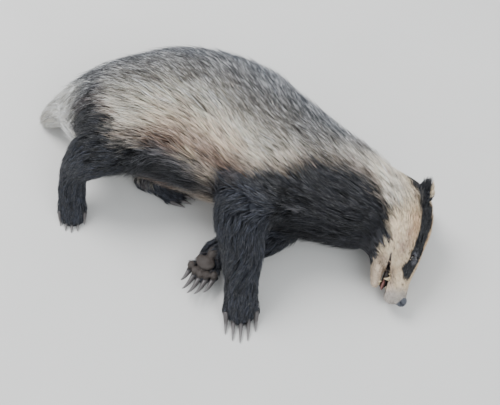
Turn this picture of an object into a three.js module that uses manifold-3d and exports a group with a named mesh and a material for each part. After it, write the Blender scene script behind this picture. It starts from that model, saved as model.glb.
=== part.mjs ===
// European badger, adult, life size, lying still on its left side.
// Millimetres, +Z up. The floor is z = 0. +X runs toward the head, +Y toward
// the back of the animal, the legs lie toward -Y and the right side is on top.
// The surface is the outline out to the tips of the coat.
import * as THREE from 'three';
import { mergeVertices } from 'three/addons/utils/BufferGeometryUtils.js';
import Module from 'manifold-3d';

const wasm = await Module();
wasm.setup();

// ---------------------------------------------------------------- sizes (mm)
const ORIGIN = [25.57, -23.88];         // shift that puts the origin under the box centre
const GAP = 0.4;                    // parting gap between neighbouring pieces
const SEAT_GAP = 0.8;               // gap round claws, nose, ears and eyes
const SETTLE = 1.5;                 // depth of the settled underside that the floor cuts off
const EYE_R = 5.6;                  // eyeball radius
const FORE_CLAW = 30;               // fore claw length
const HIND_CLAW = 19;               // hind claw length

// stations: x, y, z of the centre line, half width in the ground plane, half height
const TRUNK = [
  [-202, 126, 76, 50, 58],
  [-168, 127, 78, 69, 72],
  [-133, 124, 79, 83, 81],
  [-96, 122, 80, 94, 86],
  [-58, 112, 80, 100, 88],
  [-21, 94, 80, 99, 88],
  [13, 69, 79, 92, 86],
  [51, 43, 76, 84, 81],
];
const NECK = [
  [51, 43, 76, 84, 81],
  [92, 20, 72, 74, 75],
  [129, 2, 68, 66, 69],
  [158, -10, 63, 56, 61],
  [180, -16, 58, 47, 54],
];
const TAIL = [
  [-205, 145, 75, 34, 30],
  [-238, 154, 58, 27, 24],
  [-266, 161, 32, 22, 18],
  [-285, 164, 12, 14, 13],
];

// head frame: u runs occiput to nose, w toward the forehead, s toward the right side
const HEAD_O = [191, 3, 58];
const HEAD_N = [189, -121, 22];
const HEAD_ROLL = 0.12;
// stations: u, w, half depth (w), half breadth (s)
const SKULL = [
  [2, -4, 34, 42],
  [14, 0, 41, 48],
  [30, 1, 42, 50],
  [50, -3, 38, 46],
  [68, -2, 30, 37],
  [84, 3.0, 18.5, 29],
  [102, -1.5, 14.2, 23.5],
  [120, -6.8, 13.6, 17.5],
];
const LIP = { u: 117, w: -15.5, r: [14, 8.5, 14.5] };
const JAW = [
  [42, -34, 12, 28],
  [66, -28.5, 13, 23],
  [80, -28.5, 11.2, 18.5],
  [94, -30.2, 9.2, 15],
  [106, -32.4, 6.4, 11.5],
];
const MOUTH = [                      // middle line of the mouth gap: u, w, half height
  [73, -12.6, -0.8],
  [84, -14.8, 0.9],
  [97, -17.8, 2.7],
  [112, -23.3, 4.3],
  [126, -29.5, 5.8],
];
const CHEEK = { u: 42, w: -12, s: 30, r: [32, 26, 22] };
const BROW = { u: 68, w: 14, s: 15, r: [17, 11, 11] };
const EYE = { u: 79, w: 13.5, s: 22.5 };
const NOSE = { u: 127.8, w: -0.5, r: [8.4, 8.2, 10] };
const UPPER_TOOTH = { at: [107, -17.5, 8.6], way: [0.05, -1, 0.12], len: 10.5, r: 2.8 };   // u, w, s of the root
const LOWER_TOOTH = { at: [104, -27.5, 7.4], way: [0.12, 1, 0.42], len: 11, r: 2.5 };
const EAR = { base: [4, 28, 31], axis: [-0.80, 0.30, 0.52], face: [0.55, 0, 0.83], len: 17,
  halfWide: [9, 12.5, 9.5], halfThick: [5.5, 4.6, 3.4], cup: [9.5, 8.0, 4.2] };
const TONGUE = [[80, -14.5, 1.6, 11], [98, -18.6, 2.0, 9.5], [113, -24.0, 1.8, 7.0]];  // u, w, half height, half breadth

// limbs: x, y, z, half width in the ground plane, half height
const FORELEG_R = [
  [22, 12, 108, 44, 40],
  [-10, -34, 94, 35, 33],
  [-9, -70, 69, 27, 26],
  [-10, -98, 43, 20.5, 20],
  [-11, -112, 29, 19.5, 17],
];
const FORELEG_L = [
  [46, 8, 42, 44, 36],
  [16, -26, 27, 34, 27],
  [-18, -40, 20, 24, 21],
  [-44, -49, 15, 18, 16],
];
const HINDLEG_R = [
  [-166, 100, 104, 58, 50],
  [-178, 65, 104, 41, 38],
  [-205, 54, 86, 30, 29],
  [-229, 48, 60, 19, 20],
  [-236, 34, 35, 16, 16],
];
const HINDLEG_L = [
  [-160, 122, 44, 48, 40],
  [-112, 94, 28, 34, 28],
  [-130, 76, 19, 19, 19],
  [-143, 62, 14, 13, 15],
];

// paws: wrist, direction of the toes, direction of the back of the paw
const PAWS = {
  forepaw_right: { o: [-11, -111, 28], f: [-0.01, -0.80, -0.60], up: [0.05, -0.60, 0.80],
    palm: [[-2, 0, 19.5, 17], [13, 0, 20.5, 15], [23, -1, 19.5, 11]], toes: 29, toeR: 5.9, spread: 8.2, fan: 0.10, curl: 0.25,
    claw: FORE_CLAW, clawR: 3.3, bend: 0.55 },
  forepaw_left: { o: [-47, -52, 14], f: [-0.46, -0.88, -0.06], up: [0.12, 0.05, -0.99],
    palm: [[-2, 0, 15, 14], [13, 0, 17, 13], [26, -1, 17, 11]], toes: 34, toeR: 5.8, spread: 7.4, fan: 0.10, curl: 0.55,
    claw: FORE_CLAW, clawR: 3.2, bend: 0.95 },
  hindpaw_right: { o: [-236, 33, 34], f: [-0.03, -0.74, -0.67], up: [0.0, -0.71, 0.70],
    palm: [[-2, 0, 16, 15], [18, 0, 18.5, 13], [32, -1, 18, 10]], toes: 33, toeR: 5.7, spread: 7.0, fan: 0.08, curl: 0.35,
    claw: HIND_CLAW, clawR: 3.0, bend: 0.5 },
  hindpaw_left: { o: [-142, 61, 14], f: [0.925, -0.38, -0.04], up: [0.12, -0.32, 0.94],
    palm: [[-2, 0, 14, 14], [26, 0, 15.5, 12.5], [46, -1, 16.5, 10.5]], toes: 49, toeR: 5.5, spread: 6.4, fan: 0.08, curl: 0.30,
    claw: HIND_CLAW, clawR: 3.0, bend: 0.5 },
};

// ---------------------------------------------------------------- vectors
const add = (a, b) => [a[0] + b[0], a[1] + b[1], a[2] + b[2]];
const sub = (a, b) => [a[0] - b[0], a[1] - b[1], a[2] - b[2]];
const mul = (a, k) => [a[0] * k, a[1] * k, a[2] * k];
const dot = (a, b) => a[0] * b[0] + a[1] * b[1] + a[2] * b[2];
const cross = (a, b) => [a[1] * b[2] - a[2] * b[1], a[2] * b[0] - a[0] * b[2], a[0] * b[1] - a[1] * b[0]];
const unit = (a) => mul(a, 1 / Math.hypot(a[0], a[1], a[2]));
const lerp = (a, b, t) => a + (b - a) * t;
const clamp = (x, a, b) => Math.min(b, Math.max(a, x));
const step = (x, a, b) => { const t = clamp((x - a) / (b - a), 0, 1); return t * t * (3 - 2 * t); };

// ---------------------------------------------------------------- distance fields
const smin = (a, b, k) => { const h = Math.max(k - Math.abs(a - b), 0) / k; return Math.min(a, b) - h * h * k * 0.25; };
const smax = (a, b, k) => -smin(-a, -b, k);

// Swept ellipse through stations [x, y, z, a, b]; b is the half size along n.
function sweep(stations, n = [0, 0, 1], per = 4) {
  const m = stations.length;
  const pts = [];
  const at = (i) => stations[clamp(i, 0, m - 1)];
  for (let i = 0; i < m - 1; i++) {
    const p0 = i ? at(i - 1) : at(0).map((v, k) => 2 * v - at(1)[k]);
    const p3 = i + 2 < m ? at(i + 2) : at(m - 1).map((v, k) => 2 * v - at(m - 2)[k]);
    for (let j = 0; j < per; j++) {
      const t = j / per;
      pts.push(at(i).map((p1, k) => {
        const p2 = at(i + 1)[k];
        return 0.5 * (2 * p1 + (p2 - p0[k]) * t + (2 * p0[k] - 5 * p1 + 4 * p2 - p3[k]) * t * t
          + (3 * p1 - p0[k] - 3 * p2 + p3[k]) * t * t * t);
      }));
    }
  }
  pts.push(at(m - 1));
  const segs = pts.slice(0, -1).map((p, i) => ({ p, q: pts[i + 1], d: sub(pts[i + 1], p) }));
  for (const s of segs) s.l2 = dot(s.d, s.d);
  // a sphere round the whole sweep answers for far points
  const mid = mul(pts.reduce((a, p) => add(a, p), [0, 0, 0]), 1 / pts.length);
  const reach = Math.max(...pts.map((p) => Math.hypot(...sub(p, mid)) + Math.max(p[3], p[4])));
  return (x) => {
    const far = Math.hypot(x[0] - mid[0], x[1] - mid[1], x[2] - mid[2]) - reach;
    if (far > 45) return far;
    let best = 1e9;
    for (const s of segs) {
      const r = [x[0] - s.p[0], x[1] - s.p[1], x[2] - s.p[2]];
      const t = clamp((r[0] * s.d[0] + r[1] * s.d[1] + r[2] * s.d[2]) / s.l2, 0, 1);
      const qx = r[0] - t * s.d[0], qy = r[1] - t * s.d[1], qz = r[2] - t * s.d[2];
      const a = s.p[3] + t * (s.q[3] - s.p[3]), b = s.p[4] + t * (s.q[4] - s.p[4]);
      const h = qx * n[0] + qy * n[1] + qz * n[2];
      const l2 = qx * qx + qy * qy + qz * qz;
      const rho2 = (l2 - h * h) / (a * a) + (h * h) / (b * b);
      const l = Math.sqrt(l2);
      const d = rho2 > 1e-12 ? l * (1 - 1 / Math.sqrt(rho2)) : -Math.min(a, b);
      if (d < best) best = d;
    }
    return best;
  };
}
const ellipsoid = (c, r) => (x) => {
  const a = (x[0] - c[0]) / r[0], b = (x[1] - c[1]) / r[1], e = (x[2] - c[2]) / r[2];
  const rho = Math.sqrt(a * a + b * b + e * e);
  const l = Math.hypot(x[0] - c[0], x[1] - c[1], x[2] - c[2]);
  return rho > 1e-6 ? l * (1 - 1 / rho) : -Math.min(...r);
};

// ---------------------------------------------------------------- head
const headF = unit(sub(HEAD_N, HEAD_O));
const headD = (() => { const d = [1, 0, HEAD_ROLL]; return unit(sub(d, mul(headF, dot(d, headF)))); })();
const headR = cross(headF, headD);
const toHead = (x) => { const r = sub(x, HEAD_O); return [dot(r, headF), dot(r, headD), dot(r, headR)]; };
const fromHead = (u, w, s) => add(add(add(HEAD_O, mul(headF, u)), mul(headD, w)), mul(headR, s));
const headStation = ([u, w, a, b]) => [u, w, 0, a, b];

const skull = sweep(SKULL.map(headStation));
const jaw = sweep(JAW.map(headStation));
const cheekR = ellipsoid([CHEEK.u, CHEEK.w, CHEEK.s], CHEEK.r);
const cheekL = ellipsoid([CHEEK.u, CHEEK.w, -CHEEK.s], CHEEK.r);
const lip = ellipsoid([LIP.u, LIP.w, 0], LIP.r);
const browR = ellipsoid([BROW.u, BROW.w, BROW.s], BROW.r);
const browL = ellipsoid([BROW.u, BROW.w, -BROW.s], BROW.r);
function mouthLine(u) {
  let i = 0;
  while (i < MOUTH.length - 2 && u > MOUTH[i + 1][0]) i++;
  const t = (u - MOUTH[i][0]) / (MOUTH[i + 1][0] - MOUTH[i][0]);
  return [lerp(MOUTH[i][1], MOUTH[i + 1][1], t), lerp(MOUTH[i][2], MOUTH[i + 1][2], t)];
}
function headLocal(p) {
  let d = smin(skull(p), cheekR(p), 16);
  d = smin(d, lip(p), 7);
  d = smin(d, cheekL(p), 16);
  d = smin(d, browR(p), 9);
  d = smin(d, browL(p), 9);
  const k = lerp(16, 2, step(p[0], 58, 80));
  d = smin(d, jaw(p), k);
  // the mouth: a gap right through between the jaws, closed behind its corner
  const [wm, hm] = mouthLine(p[0]);
  const slot = smax(Math.abs(p[1] - wm) - hm, 75 - p[0], 3);
  d = smax(d, -slot, 2);
  return d;
}
const headMid = fromHead(56, -2, 0);
const head = (x) => {
  const far = Math.hypot(x[0] - headMid[0], x[1] - headMid[1], x[2] - headMid[2]) - 95;
  return far > 45 ? far : headLocal(toHead(x));
};

// ---------------------------------------------------------------- body
const trunk = sweep(TRUNK);
const neck = sweep(NECK);
const tail = sweep(TAIL);
const forelegR = sweep(FORELEG_R), forelegL = sweep(FORELEG_L);
const hindlegR = sweep(HINDLEG_R), hindlegL = sweep(HINDLEG_L);

function core(x) {
  let d = Math.min(trunk(x), neck(x));
  d = smin(d, head(x), 14);
  return d;
}
const withTail = (x) => smin(core(x), tail(x), 24);

// ---------------------------------------------------------------- paws and claws
function makePaw(P) {
  const f = unit(P.f);
  const up = unit(sub(P.up, mul(f, dot(P.up, f))));
  const side = cross(f, up);
  const at = (a, b, c) => add(add(add(P.o, mul(f, a)), mul(side, b)), mul(up, c));
  const palm = sweep(P.palm.map(([a, c, wide, high]) => [...at(a, 0, c), wide, high]), up);
  const toes = [], claws = [];
  for (let i = 0; i < 5; i++) {
    const k = i - 2;
    const short = [6, 1.5, 0, 1.5, 5][i];
    const b0 = k * P.spread * 0.82, b1 = k * (P.spread + P.fan * 10);
    const l0 = P.toes - 16, l1 = P.toes - short;
    const drop = P.curl * 10;
    toes.push(sweep([
      [...at(l0, b0, 1.5), P.toeR * 1.05, P.toeR * 1.05],
      [...at(l1 - 4, b1, 0.5 - drop * 0.3), P.toeR, P.toeR],
      [...at(l1 + 4, b1 * 1.03, -drop), P.toeR * 0.82, P.toeR * 0.82],
    ], up, 2));
    claws.push({ root: at(l1 + 6, b1 * 1.03, -drop + 2.2), f, up, side: mul(side, 1), k,
      len: P.claw * [0.72, 0.95, 1, 0.95, 0.8][i], r: P.clawR, bend: P.bend });
  }
  const field = (x) => {
    let d = palm(x);
    for (const t of toes) d = smin(d, t(x), 2.5);
    return d;
  };
  return { field, claws, at, f, up, side };
}
const paws = Object.fromEntries(Object.entries(PAWS).map(([k, v]) => [k, makePaw(v)]));

const limb = {
  foreR: (x) => smin(forelegR(x), paws.forepaw_right.field(x), 8),
  foreL: (x) => smin(forelegL(x), paws.forepaw_left.field(x), 8),
  hindR: (x) => smin(hindlegR(x), paws.hindpaw_right.field(x), 8),
  hindL: (x) => smin(hindlegL(x), paws.hindpaw_left.field(x), 8),
};
// the upper legs flow into the body, the lower ones are pressed against it
const body = (x) => smin(smin(withTail(x), limb.foreR(x), 26), limb.hindR(x), 26);
const outside = (x, f) => Math.max(f(x), 1.6 - body(x));
const whole = (x) => Math.min(body(x), limb.foreL(x), limb.hindL(x), earField[0](x), earField[1](x), noseField(x));

// ---------------------------------------------------------------- ears, nose, tongue
const headVec = (v) => add(add(mul(headF, v[0]), mul(headD, v[1])), mul(headR, v[2]));
function makeEar(sign) {
  const base = fromHead(EAR.base[0], EAR.base[1], sign * EAR.base[2]);
  const axis = unit(headVec([EAR.axis[0], EAR.axis[1], sign * EAR.axis[2]]));
  const f0 = headVec([EAR.face[0], EAR.face[1], sign * EAR.face[2]]);
  const face = unit(sub(f0, mul(axis, dot(f0, axis))));
  const wide = cross(axis, face);
  const at = (a) => add(base, mul(axis, a));
  const shell = sweep([[...at(-6), EAR.halfWide[0], EAR.halfThick[0]], [...at(EAR.len * 0.45), EAR.halfWide[1], EAR.halfThick[1]],
    [...at(EAR.len - EAR.halfWide[2] * 0.4), EAR.halfWide[2], EAR.halfThick[2]]], face, 4);
  const hollow = add(at(EAR.len * 0.55), mul(face, EAR.halfThick[1] + 0.6));
  const cup = (x) => {
    const r = sub(x, hollow);
    const q = [dot(r, axis) / EAR.cup[0], dot(r, wide) / EAR.cup[1], dot(r, face) / EAR.cup[2]];
    return (Math.hypot(...q) - 1) * EAR.cup[2];
  };
  return (x) => smax(shell(x), -cup(x), 2.5);
}
const earField = [makeEar(1), makeEar(-1)];
const noseLocal = ellipsoid([NOSE.u, NOSE.w, 0], NOSE.r);
const noseField = (x) => noseLocal(toHead(x));
const tongueFlat = sweep(TONGUE.map(([u, w, h, b]) => [u, w, 0, b, h]), [0, 1, 0], 4);

// ---------------------------------------------------------------- field to closed mesh
// Marching tetrahedra over a box; the box's own border counts as outside.
function polygonise(f, lo, hi, h) {
  const n = [0, 1, 2].map((i) => Math.ceil((hi[i] - lo[i]) / h) + 1);
  const idx = (i, j, k) => (k * n[1] + j) * n[0] + i;
  const val = new Float32Array(n[0] * n[1] * n[2]).fill(NaN);
  // blocks well away from the surface are filled with one value
  const B = 4;
  for (let k = 0; k < n[2]; k += B) for (let j = 0; j < n[1]; j += B) for (let i = 0; i < n[0]; i += B) {
    const v = f([lo[0] + (i + B / 2) * h, lo[1] + (j + B / 2) * h, lo[2] + (k + B / 2) * h]);
    if (Math.abs(v) < B * h * 2.2) continue;
    for (let c = k; c < Math.min(k + B, n[2]); c++) for (let b = j; b < Math.min(j + B, n[1]); b++)
      for (let a = i; a < Math.min(i + B, n[0]); a++) val[idx(a, b, c)] = v;
  }
  const pos = (q) => {
    const i = q % n[0], j = Math.floor(q / n[0]) % n[1], k = Math.floor(q / (n[0] * n[1]));
    return [lo[0] + i * h, lo[1] + j * h, lo[2] + k * h];
  };
  for (let k = 0; k < n[2]; k++) for (let j = 0; j < n[1]; j++) for (let i = 0; i < n[0]; i++) {
    const border = i === 0 || j === 0 || k === 0 || i === n[0] - 1 || j === n[1] - 1 || k === n[2] - 1;
    const known = val[idx(i, j, k)];
    let v = border ? h : known === known ? known : f([lo[0] + i * h, lo[1] + j * h, lo[2] + k * h]);
    if (Math.abs(v) < 1e-4) v = 1e-4;
    val[idx(i, j, k)] = v;
  }
  const verts = [], tris = [], seen = new Map();
  const total = val.length;
  const vertex = (a, b) => {
    if (a > b) { const t = a; a = b; b = t; }
    const key = a * total + b;
    let v = seen.get(key);
    if (v === undefined) {
      const pa = pos(a), pb = pos(b);
      let t = clamp(val[a] / (val[a] - val[b]), 0.03, 0.97);
      v = verts.length;
      verts.push([lerp(pa[0], pb[0], t), lerp(pa[1], pb[1], t), lerp(pa[2], pb[2], t)]);
      seen.set(key, v);
    }
    return v;
  };
  const face = (a, b, c, inside, outside) => {
    const A = verts[a], B = verts[b], C = verts[c];
    const nrm = cross(sub(B, A), sub(C, A));
    const dir = sub(pos(outside), pos(inside));
    if (dot(nrm, dir) >= 0) tris.push(a, b, c); else tris.push(a, c, b);
  };
  const paths = [[1, 3], [1, 5], [2, 3], [2, 6], [4, 5], [4, 6]];
  for (let k = 0; k < n[2] - 1; k++) for (let j = 0; j < n[1] - 1; j++) for (let i = 0; i < n[0] - 1; i++) {
    const c = [];
    for (let q = 0; q < 8; q++) c.push(idx(i + (q & 1), j + ((q >> 1) & 1), k + ((q >> 2) & 1)));
    let s = 0;
    for (const q of c) if (val[q] < 0) s++;
    if (s === 0 || s === 8) continue;
    for (const [p1, p2] of paths) {
      const t = [c[0], c[p1], c[p2], c[7]];
      const inn = t.filter((q) => val[q] < 0), out = t.filter((q) => val[q] >= 0);
      if (inn.length === 1) {
        face(...out.map((o) => vertex(inn[0], o)), inn[0], out[0]);
      } else if (inn.length === 3) {
        face(...inn.map((o) => vertex(o, out[0])), inn[0], out[0]);
      } else if (inn.length === 2) {
        const a = vertex(inn[0], out[0]), b = vertex(inn[0], out[1]);
        const d = vertex(inn[1], out[1]), e = vertex(inn[1], out[0]);
        face(a, b, d, inn[0], out[0]);
        face(a, d, e, inn[0], out[0]);
      }
    }
  }
  // two refinement steps bring the vertices onto the true surface
  const eps = 0.2;
  for (const v of verts) {
    for (let r = 0; r < 2; r++) {
      const d = f(v);
      const g = [f([v[0] + eps, v[1], v[2]]) - d, f([v[0], v[1] + eps, v[2]]) - d, f([v[0], v[1], v[2] + eps]) - d].map((q) => q / eps);
      const g2 = dot(g, g);
      if (g2 < 0.05) break;
      const m = clamp(d / g2, -0.25 * h, 0.25 * h);
      v[0] -= m * g[0] * 0.8; v[1] -= m * g[1] * 0.8; v[2] -= m * g[2] * 0.8;
    }
  }
  return { verts, tris };
}

// ---------------------------------------------------------------- solids
function solidFromArrays(vertProperties, triVerts) {
  const s = new wasm.Manifold(new wasm.Mesh({ numProp: 3, vertProperties, triVerts }));
  return s;
}
const solidFromMesh = ({ verts, tris }) => solidFromArrays(new Float32Array(verts.flat()), new Uint32Array(tris));
function solidFromGeometry(geometry) {
  let g = geometry.index ? geometry.clone() : geometry.clone();
  g.deleteAttribute('normal');
  g.deleteAttribute('uv');
  g = mergeVertices(g, 1e-4);
  return solidFromArrays(new Float32Array(g.attributes.position.array), new Uint32Array(g.index.array));
}
// Box that starts at point p and runs along n; a and n x a span it: [from, to] along each.
function cutBox({ p, n, a, depth, aRange, bRange }, inset = 0) {
  const N = unit(n), A = unit(sub(a, mul(N, dot(a, N)))), B = cross(N, A);
  const size = [aRange[1] - aRange[0] - 2 * inset, bRange[1] - bRange[0] - 2 * inset, depth - 2 * inset];
  const g = new THREE.BoxGeometry(...size);
  g.translate((aRange[0] + aRange[1]) / 2, (bRange[0] + bRange[1]) / 2, depth / 2);
  g.applyMatrix4(new THREE.Matrix4().makeBasis(new THREE.Vector3(...A), new THREE.Vector3(...B), new THREE.Vector3(...N)));
  g.translate(...p);
  return solidFromGeometry(g);
}
const cutPlanes = ({ p, n, a, depth, aRange, bRange }, inset = 0) => {
  const N = unit(n), A = unit(sub(a, mul(N, dot(a, N)))), B = cross(N, A);
  const o = dot(N, p), oa = dot(A, p), ob = dot(B, p);
  return [{ n: N, d: o + inset }, { n: A, d: oa + aRange[0] + inset }, { n: A, d: oa + aRange[1] - inset },
    { n: B, d: ob + bRange[0] + inset }, { n: B, d: ob + bRange[1] - inset }];
};
// largest connected body of a solid
function largest(s) {
  const parts = s.decompose();
  let best = parts[0];
  for (const p of parts) if (p.volume() > best.volume()) best = p;
  return best;
}

// ---------------------------------------------------------------- even triangles
// Collapses the shortest edges until the count is reached, then flips edges and slides
// vertices along the surface. Vertices on a cut plane or on its rim stay there.
const SURFACE = 1 << 30, OTHER = 1 << 29;
const bits = (m) => { let c = 0; for (; m; m &= m - 1) c++; return c; };
function even(solid, target, planes, f, turnWeight = 8) {
  const m = solid.getMesh();
  const nv = m.vertProperties.length / m.numProp;
  const P = [];
  for (let i = 0; i < nv; i++) P.push([m.vertProperties[i * m.numProp], m.vertProperties[i * m.numProp + 1], m.vertProperties[i * m.numProp + 2]]);
  const rep = new Int32Array(nv).map((_, i) => i);
  if (m.mergeFromVert) for (let i = 0; i < m.mergeFromVert.length; i++) rep[m.mergeFromVert[i]] = m.mergeToVert[i];
  const F = [];
  for (let i = 0; i < m.triVerts.length; i += 3) F.push([rep[m.triVerts[i]], rep[m.triVerts[i + 1]], rep[m.triVerts[i + 2]]]);
  const onPlane = P.map((p) => { let b = 0; planes.forEach((pl, i) => { if (Math.abs(dot(pl.n, p) - pl.d) < 2e-3) b |= 1 << i; }); return b; });
  const onField = P.map((p) => Math.abs(f(p)) < 0.35);
  const normal = (a, b, c) => cross(sub(b, a), sub(c, a));
  const faceNormal = (t) => normal(P[t[0]], P[t[1]], P[t[2]]);
  const cls = F.map((t) => {
    const shared = onPlane[t[0]] & onPlane[t[1]] & onPlane[t[2]];
    if (shared) return shared & -shared;
    return t.filter((v) => onField[v]).length >= 2 ? SURFACE : OTHER;
  });
  const VF = P.map(() => new Set());
  F.forEach((t, i) => t.forEach((v) => VF[v].add(i)));
  const mask = P.map((_, v) => { let b = 0; for (const t of VF[v]) b |= cls[t]; return b; });
  const gradient = (x) => {
    const e = 0.25, d = f(x);
    return [d, [(f([x[0] + e, x[1], x[2]]) - d) / e, (f([x[0], x[1] + e, x[2]]) - d) / e, (f([x[0], x[1], x[2] + e]) - d) / e]];
  };
  // brings a point to where its mask says it belongs, or gives nothing if it can't
  const settle = (p, b) => {
    let v = p.slice(), d = 0;
    for (let r = 0; r < 10; r++) {
      if (b & SURFACE) {
        let g;
        [d, g] = gradient(v);
        if (Math.abs(d) < 0.06) break;
        for (let i = 0; i < planes.length; i++) if (b & (1 << i)) g = sub(g, mul(planes[i].n, dot(planes[i].n, g)));
        const g2 = dot(g, g);
        if (g2 < 0.02) return null;
        v = sub(v, mul(g, clamp(d / g2, -6, 6)));
      }
      for (let k = 0; k < 2; k++) for (let i = 0; i < planes.length; i++) if (b & (1 << i)) v = sub(v, mul(planes[i].n, dot(planes[i].n, v) - planes[i].d));
      if (!(b & SURFACE)) break;
    }
    return Math.abs(d) > 0.5 ? null : v;
  };
  // a moved vertex may not cross a cut plane that its old place was behind
  const crosses = (from, to) => planes.some((pl) => {
    const a = dot(pl.n, from) - pl.d, b = dot(pl.n, to) - pl.d;
    return (a > -2e-3 && b < -2e-3) || (a < 2e-3 && b > 2e-3 && a > -400);
  });
  const vertexNormal = P.map((_, v) => { let n = [0, 0, 0]; for (const t of VF[v]) n = add(n, faceNormal(F[t])); return unit(n); });
  const stamp = new Int32Array(nv);
  const heap = [];
  const push = (e) => { heap.push(e); let i = heap.length - 1; while (i > 0) { const q = (i - 1) >> 1; if (heap[q].c <= heap[i].c) break; [heap[q], heap[i]] = [heap[i], heap[q]]; i = q; } };
  const pop = () => {
    const top = heap[0], last = heap.pop();
    if (heap.length) { heap[0] = last; let i = 0; for (;;) { let l = 2 * i + 1, q = i; if (l < heap.length && heap[l].c < heap[q].c) q = l; if (l + 1 < heap.length && heap[l + 1].c < heap[q].c) q = l + 1; if (q === i) break; [heap[q], heap[i]] = [heap[i], heap[q]]; i = q; } }
    return top;
  };
  const queue = (i, j) => {
    const common = mask[i] & mask[j];
    if (common !== mask[i] && common !== mask[j]) return;
    const d = sub(P[i], P[j]);
    let w = 1 + turnWeight * (1 - dot(vertexNormal[i], vertexNormal[j]));
    if (!(common & SURFACE)) w *= (common & OTHER) ? 5 : 0.25;
    push({ c: dot(d, d) * w, i, j, s: stamp[i] + stamp[j] });
  };
  let alive = F.length;
  const dead = new Uint8Array(F.length);
  const neighbours = (i) => { const q = new Set(); for (const t of VF[i]) for (const v of F[t]) if (v !== i) q.add(v); return q; };
  const thinOut = (slim, turn, limit) => {
    heap.length = 0;
    const seen = new Set();
    F.forEach((t, ti) => { if (!dead[ti]) for (let k = 0; k < 3; k++) { const i = Math.min(t[k], t[(k + 1) % 3]), j = Math.max(t[k], t[(k + 1) % 3]); const key = i * nv + j; if (!seen.has(key)) { seen.add(key); queue(i, j); } } });
    while (alive > target && heap.length) {
      const e = pop();
      if (e.c > limit) break;
      let { i, j } = e;
      if (!VF[i].size || !VF[j].size || stamp[i] + stamp[j] !== e.s) continue;
      const ni = neighbours(i), nj = neighbours(j);
      let common = 0; for (const v of ni) if (nj.has(v)) common++;
      if (common !== 2 || !ni.has(j)) continue;
      let to, mk;
      if (mask[i] === mask[j]) {
        mk = mask[i];
        const n = bits(mk);
        if (n > 2) continue;
        if (n === 2) { const cl = [...VF[i]].filter((t) => VF[j].has(t)).map((t) => cls[t]); if (cl[0] === cl[1]) continue; }
        to = (mk & OTHER) ? P[i] : settle(mul(add(P[i], P[j]), 0.5), mk);
        if (!to || crosses(P[i], to) || crosses(P[j], to)) continue;
      } else if ((mask[i] & mask[j]) === mask[j]) { mk = mask[i]; to = P[i]; } else { mk = mask[j]; to = P[j]; }
      let ok = true;
      for (const [v, o] of [[i, j], [j, i]]) {
        for (const t of VF[v]) {
          if (F[t].includes(o)) continue;
          const old = F[t].map((k) => P[k]), neu = F[t].map((k) => (k === v ? to : P[k]));
          const n0 = normal(...old), n1 = normal(...neu);
          const a0 = Math.hypot(...n0), a1 = Math.hypot(...n1);
          const longest = (q) => Math.max(Math.hypot(...sub(q[0], q[1])), Math.hypot(...sub(q[1], q[2])), Math.hypot(...sub(q[2], q[0])));
          const q0 = a0 / longest(old) ** 2, q1 = a1 / longest(neu) ** 2;
          if ((q1 < slim && q1 < q0) || (q0 > 0.03 && dot(n0, n1) < turn * a0 * a1)) { ok = false; break; }
        }
        if (!ok) break;
      }
      if (!ok) continue;
      P[i] = to; mask[i] = mk;
      for (const t of [...VF[j]]) {
        if (F[t].includes(i)) { for (const v of F[t]) VF[v].delete(t); dead[t] = 1; alive--; } else { F[t] = F[t].map((v) => (v === j ? i : v)); VF[i].add(t); VF[j].delete(t); }
      }
      let n = [0, 0, 0]; for (const t of VF[i]) n = add(n, faceNormal(F[t]));
      vertexNormal[i] = unit(n);
      stamp[i]++;
      for (const v of neighbours(i)) queue(Math.min(i, v), Math.max(i, v));
    }
  };
  const angle = (a, b, c) => { const u = sub(a, b), v = sub(c, b); return Math.acos(clamp(dot(u, v) / (Math.hypot(...u) * Math.hypot(...v) + 1e-12), -1, 1)); };
  const flip = () => {
    for (let t = 0; t < F.length; t++) {
      if (dead[t]) continue;
      for (let k = 0; k < 3; k++) {
        const a = F[t][k], b = F[t][(k + 1) % 3], c = F[t][(k + 2) % 3];
        const o = [...VF[a]].find((q) => q !== t && VF[b].has(q));
        if (o === undefined || cls[o] !== cls[t]) continue;
        const d = F[o].find((v) => v !== a && v !== b);
        if (d === c || neighbours(c).has(d)) continue;
        if (angle(P[a], P[c], P[b]) + angle(P[a], P[d], P[b]) < Math.PI + 0.05) continue;
        const n0 = faceNormal(F[t]), n1 = faceNormal(F[o]);
        const m0 = normal(P[c], P[a], P[d]), m1 = normal(P[c], P[d], P[b]);
        const mean = unit(add(n0, n1));
        if (dot(m0, mean) < 0.5 * Math.hypot(...m0) || dot(m1, mean) < 0.5 * Math.hypot(...m1)) continue;
        if (neighbours(a).size <= 3 || neighbours(b).size <= 3) continue;
        F[t] = [c, a, d]; F[o] = [c, d, b];
        VF[b].delete(t); VF[a].delete(o); VF[d].add(t); VF[c].add(o);
        break;
      }
    }
  };
  const slide = (amount) => {
    for (let v = 0; v < nv; v++) {
      if (!VF[v].size || bits(mask[v]) > 1 || (mask[v] & OTHER)) continue;
      const ring = [...neighbours(v)];
      const mid = mul(ring.reduce((q, w) => add(q, P[w]), [0, 0, 0]), 1 / ring.length);
      let go = mul(sub(mid, P[v]), amount);
      if (mask[v] & SURFACE) {
        let n = [0, 0, 0]; for (const t of VF[v]) n = add(n, faceNormal(F[t]));
        n = unit(n);
        go = sub(go, mul(n, dot(go, n)));
      }
      const to = settle(add(P[v], go), mask[v]);
      if (!to || crosses(P[v], to)) continue;
      let ok = true;
      const was = P[v];
      for (const t of VF[v]) {
        const n0 = faceNormal(F[t]); P[v] = to; const n1 = faceNormal(F[t]); P[v] = was;
        if (dot(n0, n1) < 0.2 * Math.hypot(...n0) * Math.hypot(...n1)) { ok = false; break; }
      }
      if (ok) P[v] = to;
    }
  };
  let area = 0;
  for (const t of F) area += Math.hypot(...faceNormal(t)) / 2;
  let limit = 0.5 * area / (target * 0.433);
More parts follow.
